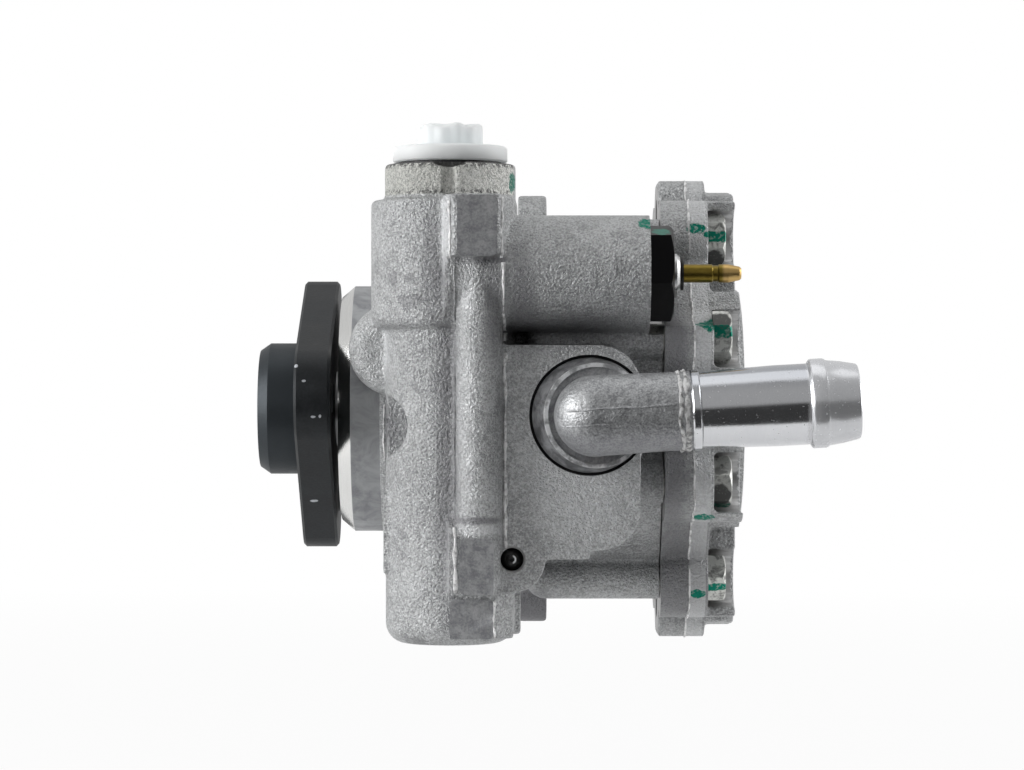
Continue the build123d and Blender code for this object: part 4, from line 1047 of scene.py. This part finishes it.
def knobOutline(turn):
    # (radius, height) of the knob in one direction; its top dips between the lobes
    p = plug
    high, top = p["high"], p["top"]
    wave = p["lobes"] * (turn - math.radians(p["turn"]))
    dip = p["dip"] * (0.5 - 0.5 * math.cos(wave))
    rim = p["knob"] - p["flute"] * (0.5 - 0.5 * math.cos(2 * wave))
    foot = high - p["knobFoot"]
    return [
        (0.0, foot), (rim, foot), *[(rim - inwards, top - drop - dip) for inwards, drop in p["knobRim"]],
        (p["middle"], top - p["middleDip"] * dip), (p["socket"], top - p["socketEdge"]),
        (p["socket"], high + p["socketFloor"]), (0.0, high + p["socketFloor"]),
    ]


def addKnob(mesh):
    rows = []
    for step in range(plug["steps"]):
        turn = math.tau * step / plug["steps"]
        rows.append([
            mesh.verts.new(Vector((radius * math.sin(turn), -radius * math.cos(turn), height)) * mm)
            for radius, height in knobOutline(turn)
        ])
    for first, second in zip(rows, rows[1:] + rows[:1]):
        for corner in range(len(first) - 1):
            mesh.faces.new((first[corner], first[corner + 1], second[corner + 1], second[corner]))
    bmesh.ops.remove_doubles(mesh, verts=mesh.verts, dist=1e-7)


def buildPlug(plastic):
    p = plug
    stem, disc, low, high = p["stem"], p["disc"], p["low"], p["high"]
    bore, floor = stem - p["stemWall"], low + p["skin"]
    mesh = bmesh.new()
    addTurned(mesh, [
        (p["stemEnd"], bore), (p["stemEnd"], stem), (low, stem), (low, disc - p["chamfer"]),
        (low + p["chamfer"], disc), *[(high - drop, disc - inwards) for inwards, drop in p["discRim"]],
        (high, 0), (floor, 0), (floor, bore), (p["stemEnd"], bore),
    ], 160)
    bmesh.ops.transform(mesh, matrix=turnTo["X"].inverted(), verts=mesh.verts)
    piece = newObject("portPlug", mesh, [plastic])
    join(piece, plastic, addKnob)
    piece.data.transform(Matrix.Translation(Vector((*p["at"], 0)) * mm))
    finishPiece(piece, p["sharp"], "port_plug")


# Valve spring: a copy of its solid between the hex plug and the spool, with the ends it spans.
def buildValveSpring(steel):
    piece = newObject("valveSpring", nodeCopy("valve_spring"), [steel])
    low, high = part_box("valve_spring")
    y, z = (low[1] + high[1]) / 2, (low[2] + high[2]) / 2
    ends = "pump_body", "spool", (high[0], y, z), (low[0], y, z)
    finishPiece(piece, 40, "valve_spring", ends)


# Materials: those of the pieces built here, and then one for each solid
flashEdge = flashFinish("flashEdge", 0.52, 0.95)
elbowFlash = flashFinish("elbowFlash", 0.26, 0.72)
padCut = padFinish()
groundSteel = steelFinish("groundSteel")
blackRubber = rubberFinish("blackRubber")
insulatorBlack = plasticFinish("insulatorBlack", (0.012, 0.012, 0.013), 0.45)
plugPlastic = plasticFinish("plugPlastic", (0.89, 0.945, 0.98), 0.5, 1.0)
castElbow = elbowFinish()
housingMaterials = {
    "cast": castFinish("castBody", housingMarks, chalkyPort), "machined": machinedFinish(),
    # the gap material is black, painted shade in the joint line and round the elbow's collar
    "nose": noseFinish(), "flash": flashEdge, "pad": padCut, "gap": rubberFinish("gapCut", 0.6),
}
coverMaterials = {**housingMaterials, "cast": castFinish("castCover", coverMarks)}

looks = {
    "housing": housingMaterials["cast"],
    "rear_cover": coverMaterials["cast"],
    "inlet_elbow": castElbow,
    "port_plug": plugPlastic,
    "cover_bolts": screwFinish(),
    "drive_flange": blackSteelFinish("flangeOxide", flangeLook, flangeNicks()),
    "valve_plug": blackSteelFinish("plugOxide", hexLook),
    "terminal_pin": brassFinish(),
    "retaining_washer": steelFinish("brightWasher", (0.72, 0.72, 0.72), 0.22),
    "rear_bush": steelFinish("bushBronze", (0.55, 0.36, 0.16), 0.35),
    "sealing_ball": ballFinish(*housing["places"]["side"]),
    "terminal_insulator": insulatorBlack,
    "insulating_disc": insulatorBlack,
}
seals = (
    "cover_seal", "shaft_seal", "front_plate_o_ring", "inlet_o_ring", "valve_plug_o_ring",
    "port_plug_washer",
)
for name in seals:
    looks[name] = blackRubber
for name, node in nodes.items():
    node.data.materials.clear()
    node.data.materials.append(looks.get(name, groundSteel))
print("materials ready")

buildHousing(housingMaterials)
buildCover(coverMaterials)
buildElbow(castElbow, collarFinish(), padCut, nippleFinish(), elbowFlash)
buildPlug(plugPlastic)
buildValveSpring(groundSteel)


# Studio in metres: white round the object for the camera, bright sides and a darker front for light
studio = {
    "centre": (0.030, -0.02, 0.0),
    # place, width and height, watts
    "lamps": {
        "keyLeft": ((-0.77, -0.22, 0.20), (0.45, 0.6), 4.8),
        "sideRight": ((0.8, 0.10, 0.25), (0.4, 0.7), 2.5),
        "topLight": ((0.05, 0.02, 0.75), (0.8, 0.5), 0.7),
        "frontLeft": ((-0.5, -0.78, 0.12), (0.3, 0.5), 0.9),
    },
    # strength of the sky: all round, and in front below and above the rise
    "sky": 0.62, "skyLow": 0.04, "skyHigh": 0.36, "front": (-0.04, -0.26), "rise": (0.0, 0.16),
    "floor": -0.095, "floorFront": -0.145, "floorFar": 60.0, "floorTone": (0.9, 0.9, 0.9),
    # the floor glows for the camera: share near the object and from afar
    "glowReach": (0.12, 0.9), "glow": (0.85, 1.0),
}


def skyLight():
    world = bpy.data.worlds.new("studioLight")
    scene.world = world
    world.use_nodes = True
    sky = Graph(world.node_tree)
    parts = sky.axes(sky.add("TexCoord", {}, {}, "Generated"))
    front = sky.step(parts["Y"], *studio["front"])
    high = sky.step(parts["Z"], *studio["rise"])
    card = sky.add("MapRange", {}, {"Value": high, "To Min": studio["skyLow"], "To Max": studio["skyHigh"]})
    level = sky.add("Mix", {"data_type": "FLOAT"}, {0: front, 2: studio["sky"], 3: card})
    onCamera = sky.add("LightPath", {}, {}, "Is Camera Ray")
    shown = sky.add("Mix", {"data_type": "FLOAT"}, {0: onCamera, 2: level, 3: 1.0})
    light = world.node_tree.nodes["Background"]
    sky.feed(light.inputs["Color"], (1, 1, 1))
    sky.feed(light.inputs["Strength"], shown)


def lamp(name, place, size, watts):
    data = bpy.data.lights.new(name, "AREA")
    data.shape = "RECTANGLE"
    data.size, data.size_y = size
    data.energy = watts
    thing = bpy.data.objects.new(name, data)
    scene.collection.objects.link(thing)
    thing.location = place
    thing.rotation_mode = "QUATERNION"
    thing.rotation_quaternion = (Vector(studio["centre"]) - Vector(place)).to_track_quat("-Z", "Y")


def floorFinish():
    material = bpy.data.materials.new("paleFloor")
    material.use_nodes = True
    graph = Graph(material.node_tree)
    shader = material.node_tree.nodes["Principled BSDF"]
    graph.feed(shader.inputs["Base Color"], studio["floorTone"])
    graph.feed(shader.inputs["Roughness"], 0.8)
    place = graph.add("TexCoord", {}, {}, "Object")
    reach = graph.add("VectorMath", {"operation": "LENGTH"}, {0: place}, "Value")
    near, far = studio["glowReach"]
    least, most = studio["glow"]
    limits = {"From Min": near, "From Max": far, "To Min": least, "To Max": most}
    fade = graph.add("MapRange", {}, {"Value": reach, **limits})
    share = graph.add("LightPath", {}, {}, "Is Camera Ray") * fade
    glow = graph.add("Emission", {}, {})
    mix = graph.add("MixShader", {}, {0: share, 1: Field(graph, shader.outputs[0]), 2: glow})
    graph.feed(material.node_tree.nodes["Material Output"].inputs[0], mix)
    return material


skyLight()
for name, (place, size, watts) in studio["lamps"].items():
    lamp(name, place, size, watts)

ground = bmesh.new()
far, near = studio["floorFar"], studio["floorFront"]
corners = [(-far, near), (far, near), (far, far), (-far, far)]
ground.faces.new([ground.verts.new((x, y, 0)) for x, y in corners])
floor = newObject("floor", ground, [floorFinish()])
floor.location = (0, 0, studio["floor"])
print("studio ready")

# Camera level with the pump, square to its side; places in millimetres
view = {"x": 29.4, "y": -782.0, "z": 5.4, "pixelsWide": 1024, "focalPixels": 3400, "sensor": 36}
cameraData = bpy.data.cameras.new("photoCamera")
cameraData.sensor_width = view["sensor"]
cameraData.lens = view["focalPixels"] * view["sensor"] / view["pixelsWide"]
cameraData.clip_start = 0.05
camera = bpy.data.objects.new("photoCamera", cameraData)
scene.collection.objects.link(camera)
camera.location = Vector((view["x"], view["y"], view["z"])) * mm
camera.rotation_euler = (math.radians(90), 0, 0)
scene.camera = camera
scene.view_settings.view_transform = "Standard"
